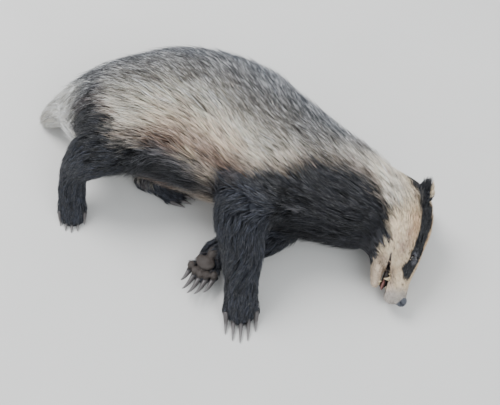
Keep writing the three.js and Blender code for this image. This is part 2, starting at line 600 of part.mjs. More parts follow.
  for (let r = 0; r < 20 && alive > target; r++, limit *= 1.5) {
    const hard = step(r, 6, 16);
    thinOut(lerp(0.25, 0.06, hard), lerp(0.5, 0.1, hard), limit);
    flip();
    if (alive < 2 * target) slide(0.5);
  }
  for (let r = 0; r < 4; r++) { slide(0.5); flip(); }
  const map = new Map(), pos = [], index = [];
  F.forEach((t, i) => { if (dead[i]) return; for (const v of t) { if (!map.has(v)) { map.set(v, pos.length / 3); pos.push(...P[v]); } index.push(map.get(v)); } });
  return { pos, index };
}

// ---------------------------------------------------------------- materials
const paint = (hex, roughness, metalness = 0) => new THREE.MeshStandardMaterial({ color: hex, roughness, metalness });
const COAT_GREY = () => paint(0xa79d90, 0.85);
const COAT_BLACK = () => paint(0x1b1a1d, 0.8);
const COAT_CREAM = () => paint(0xd8cbb0, 0.85);
const BARE_SKIN = () => paint(0x6b5f58, 0.6);
const HORN = () => paint(0x6f665e, 0.45);
const EYE_DARK = () => paint(0x120d0b, 0.1);
const FLESH = () => paint(0xa45f58, 0.45);

const badger = new THREE.Group();
badger.name = 'european_badger';
function addNode(name, data, material) {
  const g = new THREE.BufferGeometry();
  const p = new Float32Array(data.pos);
  for (let i = 0; i < p.length; i += 3) { p[i] += ORIGIN[0]; p[i + 1] += ORIGIN[1]; if (Math.abs(p[i + 2]) < 0.02) p[i + 2] = 0; }
  g.setAttribute('position', new THREE.BufferAttribute(p, 3));
  g.setIndex(data.index);
  g.computeVertexNormals();
  const mesh = new THREE.Mesh(g, material);
  mesh.name = name;
  badger.add(mesh);
}
// ---------------------------------------------------------------- parting cuts
const noseAxis = unit(add(mul(headF, 0.93), mul(headD, 0.37)));
const jawAxis = add(mul(headF, 0.955), mul(headD, -0.296));
const CUT = {
  head: { p: [178, -12, 56], n: [0.875, -0.485, -0.05], a: [0.485, 0.875, 0], depth: 220, aRange: [-110, 90], bRange: [-110, 110] },
  neck: { p: [86, 22, 70], n: [0.93, -0.37, 0], a: [0.37, 0.93, 0], depth: 260, aRange: [-130, 150], bRange: [-130, 130] },
  tail: { p: [-232, 152, 60], n: [-0.88, 0.24, -0.42], a: [0.24, 0.97, 0], depth: 110, aRange: [-60, 60], bRange: [-70, 70] },
  foreR: { p: [-9, -60, 78], n: [0.02, -0.84, -0.54], a: [1, 0, 0], depth: 190, aRange: [-52, 46], bRange: [-46, 60] },
  hindR: { p: [-184, 79, 100], n: [-0.35, -0.90, -0.25], a: [0.93, -0.36, 0], depth: 150, aRange: [-66, 40], bRange: [-100, 80] },
  nose: { p: fromHead(125.5, 0, 0), n: noseAxis, a: cross(headR, noseAxis), depth: 30, aRange: [-8.5, 16], bRange: [-10.5, 10.5] },
  jaw: { p: fromHead(74, -12.9, 0), n: jawAxis, a: cross(headR, jawAxis), depth: 70, aRange: [-45, 0], bRange: [-50, 50] },
  pawFR: { p: [-11, -109, 31], n: [0, -0.80, -0.60], a: [1, 0, 0], depth: 120, aRange: [-60, 60], bRange: [-60, 60] },
  pawFL: { p: [-44, -47, 15], n: [-0.6, -0.79, -0.06], a: [0.79, -0.6, 0], depth: 120, aRange: [-60, 60], bRange: [-60, 60] },
  pawHR: { p: [-235, 35, 38], n: [-0.03, -0.74, -0.67], a: [1, 0, 0], depth: 120, aRange: [-60, 60], bRange: [-60, 60] },
  pawHL: { p: [-126, 62, 14], n: [1, -0.12, 0], a: [0.12, 1, 0], depth: 120, aRange: [-50, 50], bRange: [-50, 50] },
};
const FLOOR = { n: [0, 0, 1], d: 0 };
const aboveFloor = cutBox({ p: [0, 0, 0], n: [0, 0, 1], a: [1, 0, 0], depth: 400, aRange: [-700, 700], bRange: [-700, 700] });
// the settled underside reaches a little below the floor, so that the cut leaves true flats
const grownFloor = (f, k) => (x) => smax(f(x), -x[2] - SETTLE, k);

// Triangle arrays of a solid, with its shared vertices merged.
function arrays(solid) {
  const m = solid.getMesh();
  const rep = new Int32Array(m.vertProperties.length / m.numProp).map((_, i) => i);
  if (m.mergeFromVert) for (let i = 0; i < m.mergeFromVert.length; i++) rep[m.mergeFromVert[i]] = m.mergeToVert[i];
  const map = new Map(), pos = [], index = [];
  for (const q of m.triVerts) {
    const v = rep[q];
    if (!map.has(v)) { map.set(v, pos.length / 3); pos.push(m.vertProperties[v * m.numProp], m.vertProperties[v * m.numProp + 1], m.vertProperties[v * m.numProp + 2]); }
    index.push(map.get(v));
  }
  return { pos, index };
}
// Takes the finished neighbours away, each with a margin of about GAP all round.
function clearOf(solid, names) {
  let s = solid;
  for (const name of names) {
    const { pos, index } = made[name];
    for (let k = 0; k < 6; k++) {
      const shifted = Float32Array.from(pos, (v, i) => v + (i % 3 === k >> 1 ? (k & 1 ? GAP : -GAP) * 1.3 : 0));
      s = s.subtract(solidFromArrays(shifted, new Uint32Array(index)));
    }
  }
  return largest(s);
}
const made = {};

// One flesh piece: a field meshed in a box, kept inside `inside` cuts and outside `away` cuts.
function piece(name, f, { lo, hi, h, soft, inside = [], away = [], target, minus = [], plus = [], turn = 8, near = [], again = 0, late = { plus: [], minus: [] } }, material) {
  let s = solidFromMesh(polygonise(grownFloor(f, soft), lo, hi, h)).intersect(aboveFloor);
  for (const p of plus) s = s.add(p);
  let planes = [FLOOR];
  for (const c of inside) { s = s.intersect(cutBox(c, GAP / 2)); planes.push(...cutPlanes(c, GAP / 2)); }
  for (const c of away) { s = s.subtract(cutBox(c, -GAP / 2)); planes.push(...cutPlanes(c, -GAP / 2)); }
  for (const m of minus) s = s.subtract(m);
  s = largest(s);
  const data = even(s, target, planes.slice(0, 28), grownFloor(f, soft), turn);
  made[name] = data;
  if (near.length || late.plus.length || late.minus.length) {
    let t = solidFromArrays(new Float32Array(data.pos), new Uint32Array(data.index));
    for (const p of late.plus) t = t.add(p);
    for (const m of late.minus) t = t.subtract(m);
    made[name] = arrays(clearOf(t, near));
    if (again) made[name] = even(solidFromArrays(new Float32Array(made[name].pos), new Uint32Array(made[name].index)), again, [FLOOR], () => 1);
  }
  addNode(name, made[name], material);
}
const C = CUT;
const boxAll = { lo: [-330, -220, -14], hi: [290, 270, 190] };
piece('trunk', body, { ...boxAll, h: 8.5, soft: 10, away: [C.neck, C.tail, C.foreR, C.hindR], target: 1340 }, COAT_GREY());
piece('neck', body, { lo: [60, -110, -10], hi: [280, 130, 170], h: 6, soft: 10, inside: [C.neck], away: [C.head, C.foreR], target: 560 }, COAT_CREAM());
piece('tail', body, { lo: [-330, 90, -10], hi: [-190, 220, 120], h: 4, soft: 4, inside: [C.tail], target: 280 }, COAT_CREAM());

// claws: bent tapered horns whose roots start just clear of the toes, `from` along their length
function clawGeometry({ root, f, up, side, len, r, bend }, rings = 6, sides = 6, from = 0) {
  const at = [], fine = 30, hop = len / fine;
  let p = root;
  for (let i = 0; i <= fine; i++) {
    const t = i / fine;
    const rr = r * Math.pow(1 - t, 0.6) + 0.35, low = rr * 1.15 + 0.1;
    let dir = unit(sub(mul(f, Math.cos(bend * t)), mul(up, Math.sin(bend * t))));
    const nrm = cross(side, dir);
    const c = [p[0], p[1], Math.max(p[2], low)];
    if (p[2] + dir[2] * hop < low) dir = unit([dir[0], dir[1], (low - c[2]) / hop]);
    at.push({ c, nrm, rr });
    p = add(c, mul(dir, hop));
  }
  const pos = [], idx = [];
  for (let i = 0; i < rings; i++) {
    const { c, nrm, rr } = at[Math.round(fine * lerp(from, 1, i / (rings - 1)))];
    for (let j = 0; j < sides; j++) {
      const q = (j / sides) * 2 * Math.PI;
      pos.push(...add(c, add(mul(side, Math.cos(q) * rr * 0.8), mul(nrm, Math.sin(q) * rr * 1.1))));
    }
  }
  for (let i = 0; i < rings - 1; i++) for (let j = 0; j < sides; j++) {
    const a = i * sides + j, b = i * sides + (j + 1) % sides, c = a + sides, d = b + sides;
    idx.push(a, b, d, a, d, c);
  }
  for (let j = 1; j < sides - 1; j++) { idx.push(0, j + 1, j); const o = (rings - 1) * sides; idx.push(o, o + j, o + j + 1); }
  return { pos, idx };
}
function closed({ pos, idx }) {
  const s = solidFromArrays(new Float32Array(pos), new Uint32Array(idx));
  return s.volume() > 0 ? s : solidFromArrays(new Float32Array(pos), new Uint32Array(idx.map((_, k) => idx[k - (k % 3) + [0, 2, 1][k % 3]])));
}

// head with its eye sockets; the jaw, ears, nose and tongue are pieces of their own
const eyeAt = (sign) => fromHead(EYE.u, EYE.w, sign * EYE.s);
const ball = (c, r, w = 16, hgt = 12) => { const g = new THREE.SphereGeometry(r, w, hgt); g.translate(...c); return g; };
const sockets = [1, -1].map((k) => solidFromGeometry(ball(eyeAt(k), EYE_R + SEAT_GAP, 12, 8)));
const toothSolids = ({ at, way, len, r }) => [1, -1].map((k) => {
  const f = unit(headVec([way[0], way[1], way[2] * k]));
  const side = unit(cross(f, headF));
  return closed(clawGeometry({ root: fromHead(at[0], at[1], at[2] * k), f, up: cross(side, f), side, len, r, bend: 0.25 }, 4, 6));
});
const upperTeeth = toothSolids(UPPER_TOOTH), lowerTeeth = toothSolids(LOWER_TOOTH);
// room for each tooth in the facing jaw
const roomFor = (tooth) => toothSolids({ ...tooth, len: tooth.len + 1, r: tooth.r + 0.8 });
const headBox = { lo: [120, -150, -8], hi: [262, 70, 130] };
piece('head', body, { ...headBox, h: 3.0, soft: 6, inside: [C.head], away: [C.jaw, C.nose], late: { plus: upperTeeth, minus: [...sockets, ...roomFor(LOWER_TOOTH)] }, target: 1560 }, COAT_CREAM());
piece('lower_jaw', body, { lo: [130, -140, -8], hi: [230, -30, 80], h: 2.2, soft: 6, inside: [C.jaw, C.head], late: { plus: lowerTeeth, minus: roomFor(UPPER_TOOTH) }, target: 340 }, COAT_CREAM());
['ear_right', 'ear_left'].forEach((n, i) => piece(n, (x) => Math.max(earField[i](x), SEAT_GAP - body(x)),
  { lo: [180, -60, 0], hi: [260, 60, 130], h: 1.4, soft: 1, target: 210, near: ['head'] }, COAT_BLACK()));
piece('nose', (x) => smin(body(x), noseField(x), 3), { lo: [150, -150, -6], hi: [225, -85, 60], h: 1.4, soft: 1, inside: [C.nose], target: 180 }, paint(0x4c4a4d, 0.45));
piece('tongue', (x) => Math.max(tongueFlat(toHead(x)), SEAT_GAP * 0.6 - body(x)), { lo: [130, -140, 0], hi: [220, -50, 80], h: 1.1, soft: 1, minus: [...upperTeeth, ...lowerTeeth], target: 110, again: 120, near: ['head', 'lower_jaw'] }, FLESH());
['eye_right', 'eye_left'].forEach((n, i) => {
  const m = solidFromGeometry(ball(eyeAt(i ? -1 : 1), EYE_R, 12, 8)).getMesh();
  addNode(n, { pos: Array.from(m.vertProperties), index: Array.from(m.triVerts) }, EYE_DARK());
});

// legs and paws
const legBox = { foreR: { lo: [-80, -200, -8], hi: [80, 20, 160] }, foreL: { lo: [-130, -150, -8], hi: [110, 60, 110] },
  hindR: { lo: [-290, -50, -8], hi: [-90, 130, 180] }, hindL: { lo: [-230, 10, -8], hi: [-30, 180, 100] } };
const leftFore = (x) => outside(x, limb.foreL), leftHind = (x) => outside(x, limb.hindL);
piece('foreleg_right', body, { ...legBox.foreR, h: 4, soft: 3, inside: [C.foreR], away: [C.pawFR], target: 430 }, COAT_BLACK());
piece('foreleg_left', leftFore, { ...legBox.foreL, h: 4, soft: 4, away: [C.pawFL], target: 310, near: ['trunk', 'neck', 'foreleg_right'] }, COAT_BLACK());
piece('hindleg_right', body, { ...legBox.hindR, h: 4, soft: 3, inside: [C.hindR], away: [C.pawHR, C.tail], target: 430 }, COAT_BLACK());
piece('hindleg_left', leftHind, { ...legBox.hindL, h: 4, soft: 4, away: [C.pawHL], target: 280, near: ['trunk', 'hindleg_right'] }, COAT_BLACK());
const pawBox = { forepaw_right: { lo: [-60, -180, -6], hi: [50, -80, 70] }, forepaw_left: { lo: [-110, -140, -6], hi: [0, -20, 60] },
  hindpaw_right: { lo: [-290, -30, -6], hi: [-190, 70, 80] }, hindpaw_left: { lo: [-150, 10, -6], hi: [-40, 100, 60] } };
piece('forepaw_right', limb.foreR, { ...pawBox.forepaw_right, h: 2.4, soft: 1.5, inside: [C.pawFR], target: 360 }, COAT_BLACK());
piece('forepaw_left', leftFore, { ...pawBox.forepaw_left, h: 2.4, soft: 1.5, inside: [C.pawFL], target: 350, near: ['trunk', 'foreleg_right'] }, BARE_SKIN());
piece('hindpaw_right', limb.hindR, { ...pawBox.hindpaw_right, h: 2.4, soft: 1.5, inside: [C.pawHR], target: 330 }, COAT_BLACK());
piece('hindpaw_left', leftHind, { ...pawBox.hindpaw_left, h: 2.4, soft: 1.5, inside: [C.pawHL], target: 350, near: ['trunk', 'hindleg_right'] }, COAT_BLACK());

const digits = ['a', 'b', 'c', 'd', 'e'];
const grown = (name) => {
  const { pos, index } = made[name];
  return [0, 1, 2, 3, 4, 5].map((k) => solidFromArrays(Float32Array.from(pos, (v, i) => v + (i % 3 === k >> 1 ? (k & 1 ? GAP : -GAP) * 1.3 : 0)), new Uint32Array(index)));
};
for (const [name, P] of Object.entries(paws)) {
  const others = [name, 'trunk', 'foreleg_right', 'foreleg_left', 'hindleg_right', 'hindleg_left'].flatMap(grown);
  P.claws.forEach((c, i) => {
    // the whole claw where there is room, else a shorter one, or one turned down or aside
    for (const [size, turn, drop] of [[1, 0, 0], [0.85, 0, 0], [0.7, 0, 0], [1, 0, 0.9], [1, 0.12, 0.9], [1, 0.25, 0.9], [1, 0.25, 1.3], [0.9, 0.25, 0.6], [0.8, -0.3, 0.6]]) {
      const f = unit(sub(add(c.f, mul(c.side, turn)), mul(c.up, drop))), side = unit(cross(f, c.up));
      const shape = { ...c, f, up: cross(side, f), side, len: c.len * size };
      for (let from = 0; from < 0.85 + 0.07 * (size === 1); from += 1 / 30) {
        const horn = clawGeometry(shape, 5, 5, from);
        const off = horn.pos.every((_, k) => k % 3 || (P.field(horn.pos.slice(k, k + 3)) > SEAT_GAP && horn.pos[k + 2] >= 0));
        if (!off) continue;
        const s = closed(horn);
        if (others.some((o) => s.intersect(o).volume() > 1e-4)) continue;
        addNode(`claw_${name.replace('paw', '')}_${digits[i]}`, arrays(s), HORN());
        return;
      }
    }
  });
}

export default badger;
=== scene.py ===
import bpy
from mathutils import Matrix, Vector
import math
import numpy as np


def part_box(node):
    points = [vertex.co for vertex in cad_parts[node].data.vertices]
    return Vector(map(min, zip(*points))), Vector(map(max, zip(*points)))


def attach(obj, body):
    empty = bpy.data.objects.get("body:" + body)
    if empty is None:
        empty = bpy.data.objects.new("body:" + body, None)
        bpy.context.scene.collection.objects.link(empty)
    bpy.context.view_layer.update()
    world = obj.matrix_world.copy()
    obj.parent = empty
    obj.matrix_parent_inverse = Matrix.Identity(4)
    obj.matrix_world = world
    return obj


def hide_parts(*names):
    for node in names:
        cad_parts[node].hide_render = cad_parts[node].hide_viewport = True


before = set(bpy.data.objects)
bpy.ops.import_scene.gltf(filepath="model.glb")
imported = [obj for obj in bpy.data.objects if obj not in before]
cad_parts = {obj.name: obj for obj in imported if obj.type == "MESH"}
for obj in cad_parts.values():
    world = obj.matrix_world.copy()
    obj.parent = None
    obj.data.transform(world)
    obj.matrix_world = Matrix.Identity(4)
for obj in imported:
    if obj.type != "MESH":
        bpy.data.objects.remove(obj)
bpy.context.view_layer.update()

# ------------------------------------------------------------------ shape of the animal (mm)
# centre lines: x, y, z, half width in the ground plane, half height
TRUNK = [(-202, 126, 76, 50, 58), (-168, 127, 78, 69, 72), (-133, 124, 79, 83, 81), (-96, 122, 80, 94, 86),
         (-58, 112, 80, 100, 88), (-21, 94, 80, 99, 88), (13, 69, 79, 92, 86), (51, 43, 76, 84, 81)]
NECK = [(51, 43, 76, 84, 81), (92, 20, 72, 74, 75), (129, 2, 68, 66, 69), (158, -10, 63, 56, 61), (180, -16, 58, 47, 54)]
TAIL = [(-205, 145, 75, 34, 30), (-238, 154, 58, 27, 24), (-266, 161, 32, 22, 18), (-285, 164, 12, 14, 13)]
FORELEG_R = [(22, 12, 108, 44, 40), (-10, -34, 94, 35, 33), (-9, -70, 69, 27, 26), (-10, -98, 43, 20.5, 20), (-11, -112, 29, 19.5, 17)]
FORELEG_L = [(46, 8, 42, 44, 36), (16, -26, 27, 34, 27), (-18, -40, 20, 24, 21), (-44, -49, 15, 18, 16)]
HINDLEG_R = [(-166, 100, 104, 58, 50), (-178, 65, 104, 41, 38), (-205, 54, 86, 30, 29), (-229, 48, 60, 19, 20), (-236, 34, 35, 16, 16)]
HINDLEG_L = [(-160, 122, 44, 48, 40), (-112, 94, 28, 34, 28), (-130, 76, 19, 19, 19), (-143, 62, 14, 13, 15)]

# head frame: u runs occiput to nose, w toward the forehead, s toward the right side
HEAD_O = np.array([191.0, 3, 58])
HEAD_N = np.array([189.0, -121, 22])
HEAD_ROLL = 0.12
SKULL = [(2, -4, 34, 42), (14, 0, 41, 48), (30, 1, 42, 50), (50, -3, 38, 46), (68, -2, 30, 37), (84, 3, 18.5, 29),
         (102, -1.5, 14.2, 23.5), (120, -6.8, 13.6, 17.5)]
LIP = (117, -15.5, (14, 8.5, 14.5))
JAW = [(42, -34, 12, 28), (66, -28.5, 13, 23), (80, -28.5, 11.2, 18.5), (94, -30.2, 9.2, 15), (106, -32.4, 6.4, 11.5)]
MOUTH = [(73, -12.6, -0.8), (84, -14.8, 0.9), (97, -17.8, 2.7), (112, -23.3, 4.3), (126, -29.5, 5.8)]
CHEEK = (42, -12, 30, (32, 26, 22))
BROW = (68, 14, 15, (17, 11, 11))
EYE = (79, 13.5, 22.5)
EYE_R = 5.6
NOSE = (127.8, -0.5, (8.4, 8.2, 10))
EAR = dict(base=(4, 28, 31), axis=(-0.80, 0.30, 0.52), face=(0.55, 0, 0.83), length=17, wide=(9, 12.5, 9.5), thick=(5.5, 4.6, 3.4), cup=(9.5, 8.0, 4.2))
TONGUE = [(80, -14.5, 1.6, 11), (98, -18.6, 2.0, 9.5), (113, -24.0, 1.8, 7.0)]

PAWS = dict(
    fore_right=dict(o=(-11, -111, 28), f=(-0.01, -0.80, -0.60), up=(0.05, -0.60, 0.80), palm=[(-2, 0, 19.5, 17), (13, 0, 20.5, 15), (23, -1, 19.5, 11)],
                    toes=29, toe_r=5.9, spread=8.2, fan=0.10, curl=0.25, claw=30, claw_r=3.3, bend=0.55),
    fore_left=dict(o=(-47, -52, 14), f=(-0.46, -0.88, -0.06), up=(0.12, 0.05, -0.99), palm=[(-2, 0, 15, 14), (13, 0, 17, 13), (26, -1, 17, 11)],
                   toes=34, toe_r=5.8, spread=7.4, fan=0.10, curl=0.55, claw=30, claw_r=3.2, bend=0.95),
    hind_right=dict(o=(-236, 33, 34), f=(-0.03, -0.74, -0.67), up=(0.0, -0.71, 0.70), palm=[(-2, 0, 16, 15), (18, 0, 18.5, 13), (32, -1, 18, 10)],
                    toes=33, toe_r=5.7, spread=7.0, fan=0.08, curl=0.35, claw=19, claw_r=3.0, bend=0.5),
    hind_left=dict(o=(-142, 61, 14), f=(0.925, -0.38, -0.04), up=(0.12, -0.32, 0.94), palm=[(-2, 0, 14, 14), (26, 0, 15.5, 12.5), (46, -1, 16.5, 10.5)],
                   toes=49, toe_r=5.5, spread=6.4, fan=0.08, curl=0.30, claw=19, claw_r=3.0, bend=0.5))


def unit(v):
    v = np.asarray(v, float)
    return v / np.linalg.norm(v)


def ramp(x, a, b):
    t = np.clip((x - a) / (b - a), 0, 1)
    return t * t * (3 - 2 * t)


def smin(a, b, k):
    h = np.maximum(k - np.abs(a - b), 0) / k
    return np.minimum(a, b) - h * h * (k * 0.25)


def smax(a, b, k):
    return -smin(-a, -b, k)


def spline(st, per):
    st = np.array(st, float)
    ext = np.vstack([2 * st[0] - st[1], st, 2 * st[-1] - st[-2]])
    out = []
    for i in range(len(st) - 1):
        p0, p1, p2, p3 = ext[i:i + 4]
        for j in range(per):
            t = j / per
            out.append(0.5 * (2 * p1 + (p2 - p0) * t + (2 * p0 - 5 * p1 + 4 * p2 - p3) * t * t + (3 * p1 - p0 - 3 * p2 + p3) * t ** 3))
    out.append(st[-1])
    return np.array(out)


class Sweep:
    """An elliptical tube round a centre line; the second radius lies along n."""

    def __init__(self, st, n=(0, 0, 1), per=4):
        pts = spline(st, per)
        self.n = np.asarray(n, float)
        self.p, self.d = pts[:-1, :3], pts[1:, :3] - pts[:-1, :3]
        self.r, self.dr = pts[:-1, 3:], pts[1:, 3:] - pts[:-1, 3:]
        self.l2 = (self.d ** 2).sum(1)
        self.arc = np.concatenate([[0], np.cumsum(np.sqrt(self.l2))])
        self.mid = pts[:, :3].mean(0)
        self.reach = (np.linalg.norm(pts[:, :3] - self.mid, axis=1) + pts[:, 3:].max(1)).max()

    def __call__(self, X):
        far = np.sqrt(((X - self.mid) ** 2).sum(1)) - self.reach
        near = far <= 45
        if near.all():
            return self.nearest(X)[0]
        out = far
        if near.any():
            out[near] = self.nearest(X[near])[0]
        return out

    def nearest(self, X, more=False):
        """Distance, and with more the arc length, centre point and direction of the nearest place."""
        x, y, z = X[:, 0], X[:, 1], X[:, 2]
        n = self.n
        best = np.full(len(X), 1e9, X.dtype)
        seg = np.zeros(len(X), np.int32)
        par = np.zeros(len(X), X.dtype)
        for k in range(len(self.p)):
            px, py, pz = self.p[k]
            dx, dy, dz = self.d[k]
            rx, ry, rz = x - px, y - py, z - pz
            t = np.clip((rx * dx + ry * dy + rz * dz) / self.l2[k], 0, 1)
            rx -= t * dx
            ry -= t * dy
            rz -= t * dz
            a = self.r[k, 0] + t * self.dr[k, 0]
            b = self.r[k, 1] + t * self.dr[k, 1]
            h = rx * n[0] + ry * n[1] + rz * n[2]
            h *= h
            l2 = rx * rx + ry * ry + rz * rz
            rho2 = (l2 - h) / (a * a) + h / (b * b)
            d = np.where(rho2 > 1e-9, np.sqrt(l2) * (1 - 1 / np.sqrt(np.maximum(rho2, 1e-9))), -np.minimum(a, b))
            if more:
                m = d < best
                seg[m] = k
                par[m] = t[m]
            best = np.minimum(best, d)
        if not more:
            return (best,)
        arc = self.arc[seg] + par * (self.arc[seg + 1] - self.arc[seg])
        centre = self.p[seg] + par[:, None] * self.d[seg]
        # direction blended between the segments, so that it turns smoothly
        du = self.d / np.sqrt(self.l2)[:, None]
        node = np.vstack([du[0], (du[:-1] + du[1:]) / 2, du[-1]])
        way = node[seg] * (1 - par)[:, None] + node[seg + 1] * par[:, None]
        way /= np.linalg.norm(way, axis=1)[:, None]
        return best, arc, centre, way


def ellipsoid(X, c, r):
    q = X - np.asarray(c, float)
    l = np.sqrt((q ** 2).sum(1))
    rho = np.sqrt(((q / np.asarray(r, float)) ** 2).sum(1))
    return np.where(rho > 1e-6, l * (1 - 1 / np.maximum(rho, 1e-6)), -min(r))


headF = unit(HEAD_N - HEAD_O)
headD = np.array([1.0, 0, HEAD_ROLL])
headD = unit(headD - headF * (headD @ headF))
headR = np.cross(headF, headD)
HEAD_M = np.stack([headF, headD, headR])


def to_head(X):
    return (X - HEAD_O) @ HEAD_M.T


def from_head(u, w, s):
    return HEAD_O + headF * u + headD * w + headR * s


def head_vec(v):
    return headF * v[0] + headD * v[1] + headR * v[2]


trunk, neck, tail = Sweep(TRUNK), Sweep(NECK), Sweep(TAIL)
foreleg_r, foreleg_l, hindleg_r, hindleg_l = (Sweep(s) for s in (FORELEG_R, FORELEG_L, HINDLEG_R, HINDLEG_L))
spine = Sweep(TRUNK[:-1] + NECK)
skull = Sweep([(u, w, 0, a, b) for u, w, a, b in SKULL])
jaw = Sweep([(u, w, 0, a, b) for u, w, a, b in JAW])


def head_local(p, gape=True):
    u = p[:, 0]
    d = smin(skull(p), ellipsoid(p, (CHEEK[0], CHEEK[1], CHEEK[2]), CHEEK[3]), 16)
    d = smin(d, ellipsoid(p, (LIP[0], LIP[1], 0), LIP[2]), 7)
    d = smin(d, ellipsoid(p, (CHEEK[0], CHEEK[1], -CHEEK[2]), CHEEK[3]), 16)
    d = smin(d, ellipsoid(p, (BROW[0], BROW[1], BROW[2]), BROW[3]), 9)
    d = smin(d, ellipsoid(p, (BROW[0], BROW[1], -BROW[2]), BROW[3]), 9)
    d = smin(d, jaw(p), 16 - 14 * ramp(u, 58, 80))
    if not gape:
        return d
    m = np.array(MOUTH)
    wm = np.interp(u, m[:, 0], m[:, 1])
    hm = np.interp(u, m[:, 0], m[:, 2])
    return smax(d, -smax(np.abs(p[:, 1] - wm) - hm, 75 - u, 3), 2)


HEAD_MID = from_head(56, -2, 0)


def head(X):
    out = np.sqrt(((X - HEAD_MID) ** 2).sum(1)) - 95
    near = out <= 45
    if near.any():
        out[near] = head_local(to_head(X[near]))
    return out


class Paw:
    def __init__(self, o, f, up, palm, toes, toe_r, spread, fan, curl, claw, claw_r, bend):
        self.o, self.f = np.array(o, float), unit(f)
        self.up = unit(np.array(up) - self.f * (np.array(up) @ self.f))
        self.side = np.cross(self.f, self.up)
        self.palm = Sweep([(*self.at(a, 0, c), wide, high) for a, c, wide, high in palm], self.up)
        self.toes, self.claws, self.toe_r = [], [], toe_r
        for i in range(5):
            k = i - 2
            short = (6, 1.5, 0, 1.5, 5)[i]
            b0, b1 = k * spread * 0.82, k * (spread + fan * 10)
            l0, l1, drop = toes - 16, toes - short, curl * 10
            self.toes.append(Sweep([(*self.at(l0, b0, 1.5), toe_r * 1.05, toe_r * 1.05), (*self.at(l1 - 4, b1, 0.5 - drop * 0.3), toe_r, toe_r),
                                    (*self.at(l1 + 4, b1 * 1.03, -drop), toe_r * 0.82, toe_r * 0.82)], self.up, 2))
            self.claws.append(dict(root=self.at(l1 + 6, b1 * 1.03, -drop + 2.2), len=claw * (0.72, 0.95, 1, 0.95, 0.8)[i], r=claw_r, bend=bend))

    def at(self, a, b, c):
        return self.o + self.f * a + self.side * b + self.up * c

    def __call__(self, X):
        d = self.palm(X)
        for t in self.toes:
            d = smin(d, t(X), 2.5)
        return d


paw = {k: Paw(**v) for k, v in PAWS.items()}
LEG = dict(fore_right=foreleg_r, fore_left=foreleg_l, hind_right=hindleg_r, hind_left=hindleg_l)


def limb(name, X):
    return smin(LEG[name](X), paw[name](X), 8)


def core(X):
    return smin(np.minimum(trunk(X), neck(X)), head(X), 14)


def body(X):
    d = smin(core(X), tail(X), 24)
    return smin(smin(d, limb('fore_right', X), 26), limb('hind_right', X), 26)


class Ear:
    def __init__(self, sign):
        base = from_head(EAR['base'][0], EAR['base'][1], sign * EAR['base'][2])
        self.axis = unit(head_vec((EAR['axis'][0], EAR['axis'][1], sign * EAR['axis'][2])))
        f = head_vec((EAR['face'][0], EAR['face'][1], sign * EAR['face'][2]))
        self.face = unit(f - self.axis * (f @ self.axis))
        self.wide = np.cross(self.axis, self.face)
        self.base = base
        at = lambda a: base + self.axis * a
        n = EAR['length']
        self.shell = Sweep([(*at(-6), EAR['wide'][0], EAR['thick'][0]), (*at(n * 0.45), EAR['wide'][1], EAR['thick'][1]),
                            (*at(n - EAR['wide'][2] * 0.4), EAR['wide'][2], EAR['thick'][2])], self.face, 4)
        self.hollow = at(n * 0.55) + self.face * (EAR['thick'][1] + 0.6)

    def local(self, X):
        r = X - self.base
        return r @ self.axis, r @ self.wide, r @ self.face

    def __call__(self, X, thin=0.0, deep=0.0):
        r = X - self.hollow
        q = np.stack([r @ self.axis / (EAR['cup'][0] + deep), r @ self.wide / (EAR['cup'][1] + deep), r @ self.face / (EAR['cup'][2] + deep)], 1)
        cup = (np.sqrt((q ** 2).sum(1)) - 1) * EAR['cup'][2]
        return smax(self.shell(X) + thin, -cup, 2.0)


ears = {1: Ear(1), -1: Ear(-1)}

# ------------------------------------------------------------------ skin under the coat
# coat depth of each region (mm); the skin lies this far inside the outline
DEPTH = dict(trunk=15.0, neck=13.0, tail=9.0, head=3.2, fore_right=8.0, fore_left=5.0, hind_right=8.0, hind_left=4.5, paws=2.2)
FLOOR_SKIN = 2.5


def shares(X):
    """Share of each region at X, from how near its own shape is."""
    d = dict(trunk=trunk(X), neck=neck(X), tail=tail(X), head=head(X))
    for k in LEG:
        d[k] = LEG[k](X)
    d['paws'] = np.minimum.reduce([paw[k](X) for k in LEG])
    w = {k: np.exp(-np.clip(v, -24, 60) / 6.0) for k, v in d.items()}
    w['head'] = w['head'] * 2.5
    w['tail'] = w['tail'] * 2.0
    total = sum(w.values())
    return {k: v / total for k, v in w.items()}


def depth_of(X, w=None):
    w = w or shares(X)
    d = sum(w[k] * DEPTH[k] for k in DEPTH)
    h = to_head(X)
    # shorter toward the nose and lips
    near_nose = ramp(h[:, 0], 70, 118) * w['head']
    d = d * (1 - 0.55 * near_nose)
    for k in ('fore_right', 'hind_right'):
        p = paw[k]
        along = (X - p.o) @ p.f
        d = d - w[k] * 4.5 * ramp(along, -85, -10)
    return d


# pads of the upturned left forepaw, in its own frame: along, across, radii
PADS = [(2, 2.5, 9.0, 6.5, 5.0), (18, 0.0, 9.5, 12.5, 5.0), (16, -9.0, 6.0, 5.5, 4.5)]
PAD_TOE = (5.4, 5.0, 4.2)


def pad_field(X):
    """Bare pads under a paw: returns the field of all pads of the upturned paw."""
    p = paw['fore_left']
    r = X - p.o
    q = np.stack([r @ p.f, r @ p.side, r @ p.up], 1)
    out = np.full(len(X), 60.0)
    for a, b, ra, rb, rc in PADS:
        out = smin(out, ellipsoid(q, (a, b, -11.5), (ra, rb, rc)), 1.5)
    for k in range(-2, 3):
        short = (6, 1.5, 0, 1.5, 5)[k + 2]
        spread = PAWS['fore_left']['spread'] + 1.0
        out = smin(out, ellipsoid(q, (34 - short - 1.0, k * spread, -8.0), PAD_TOE), 0.8)
    return out


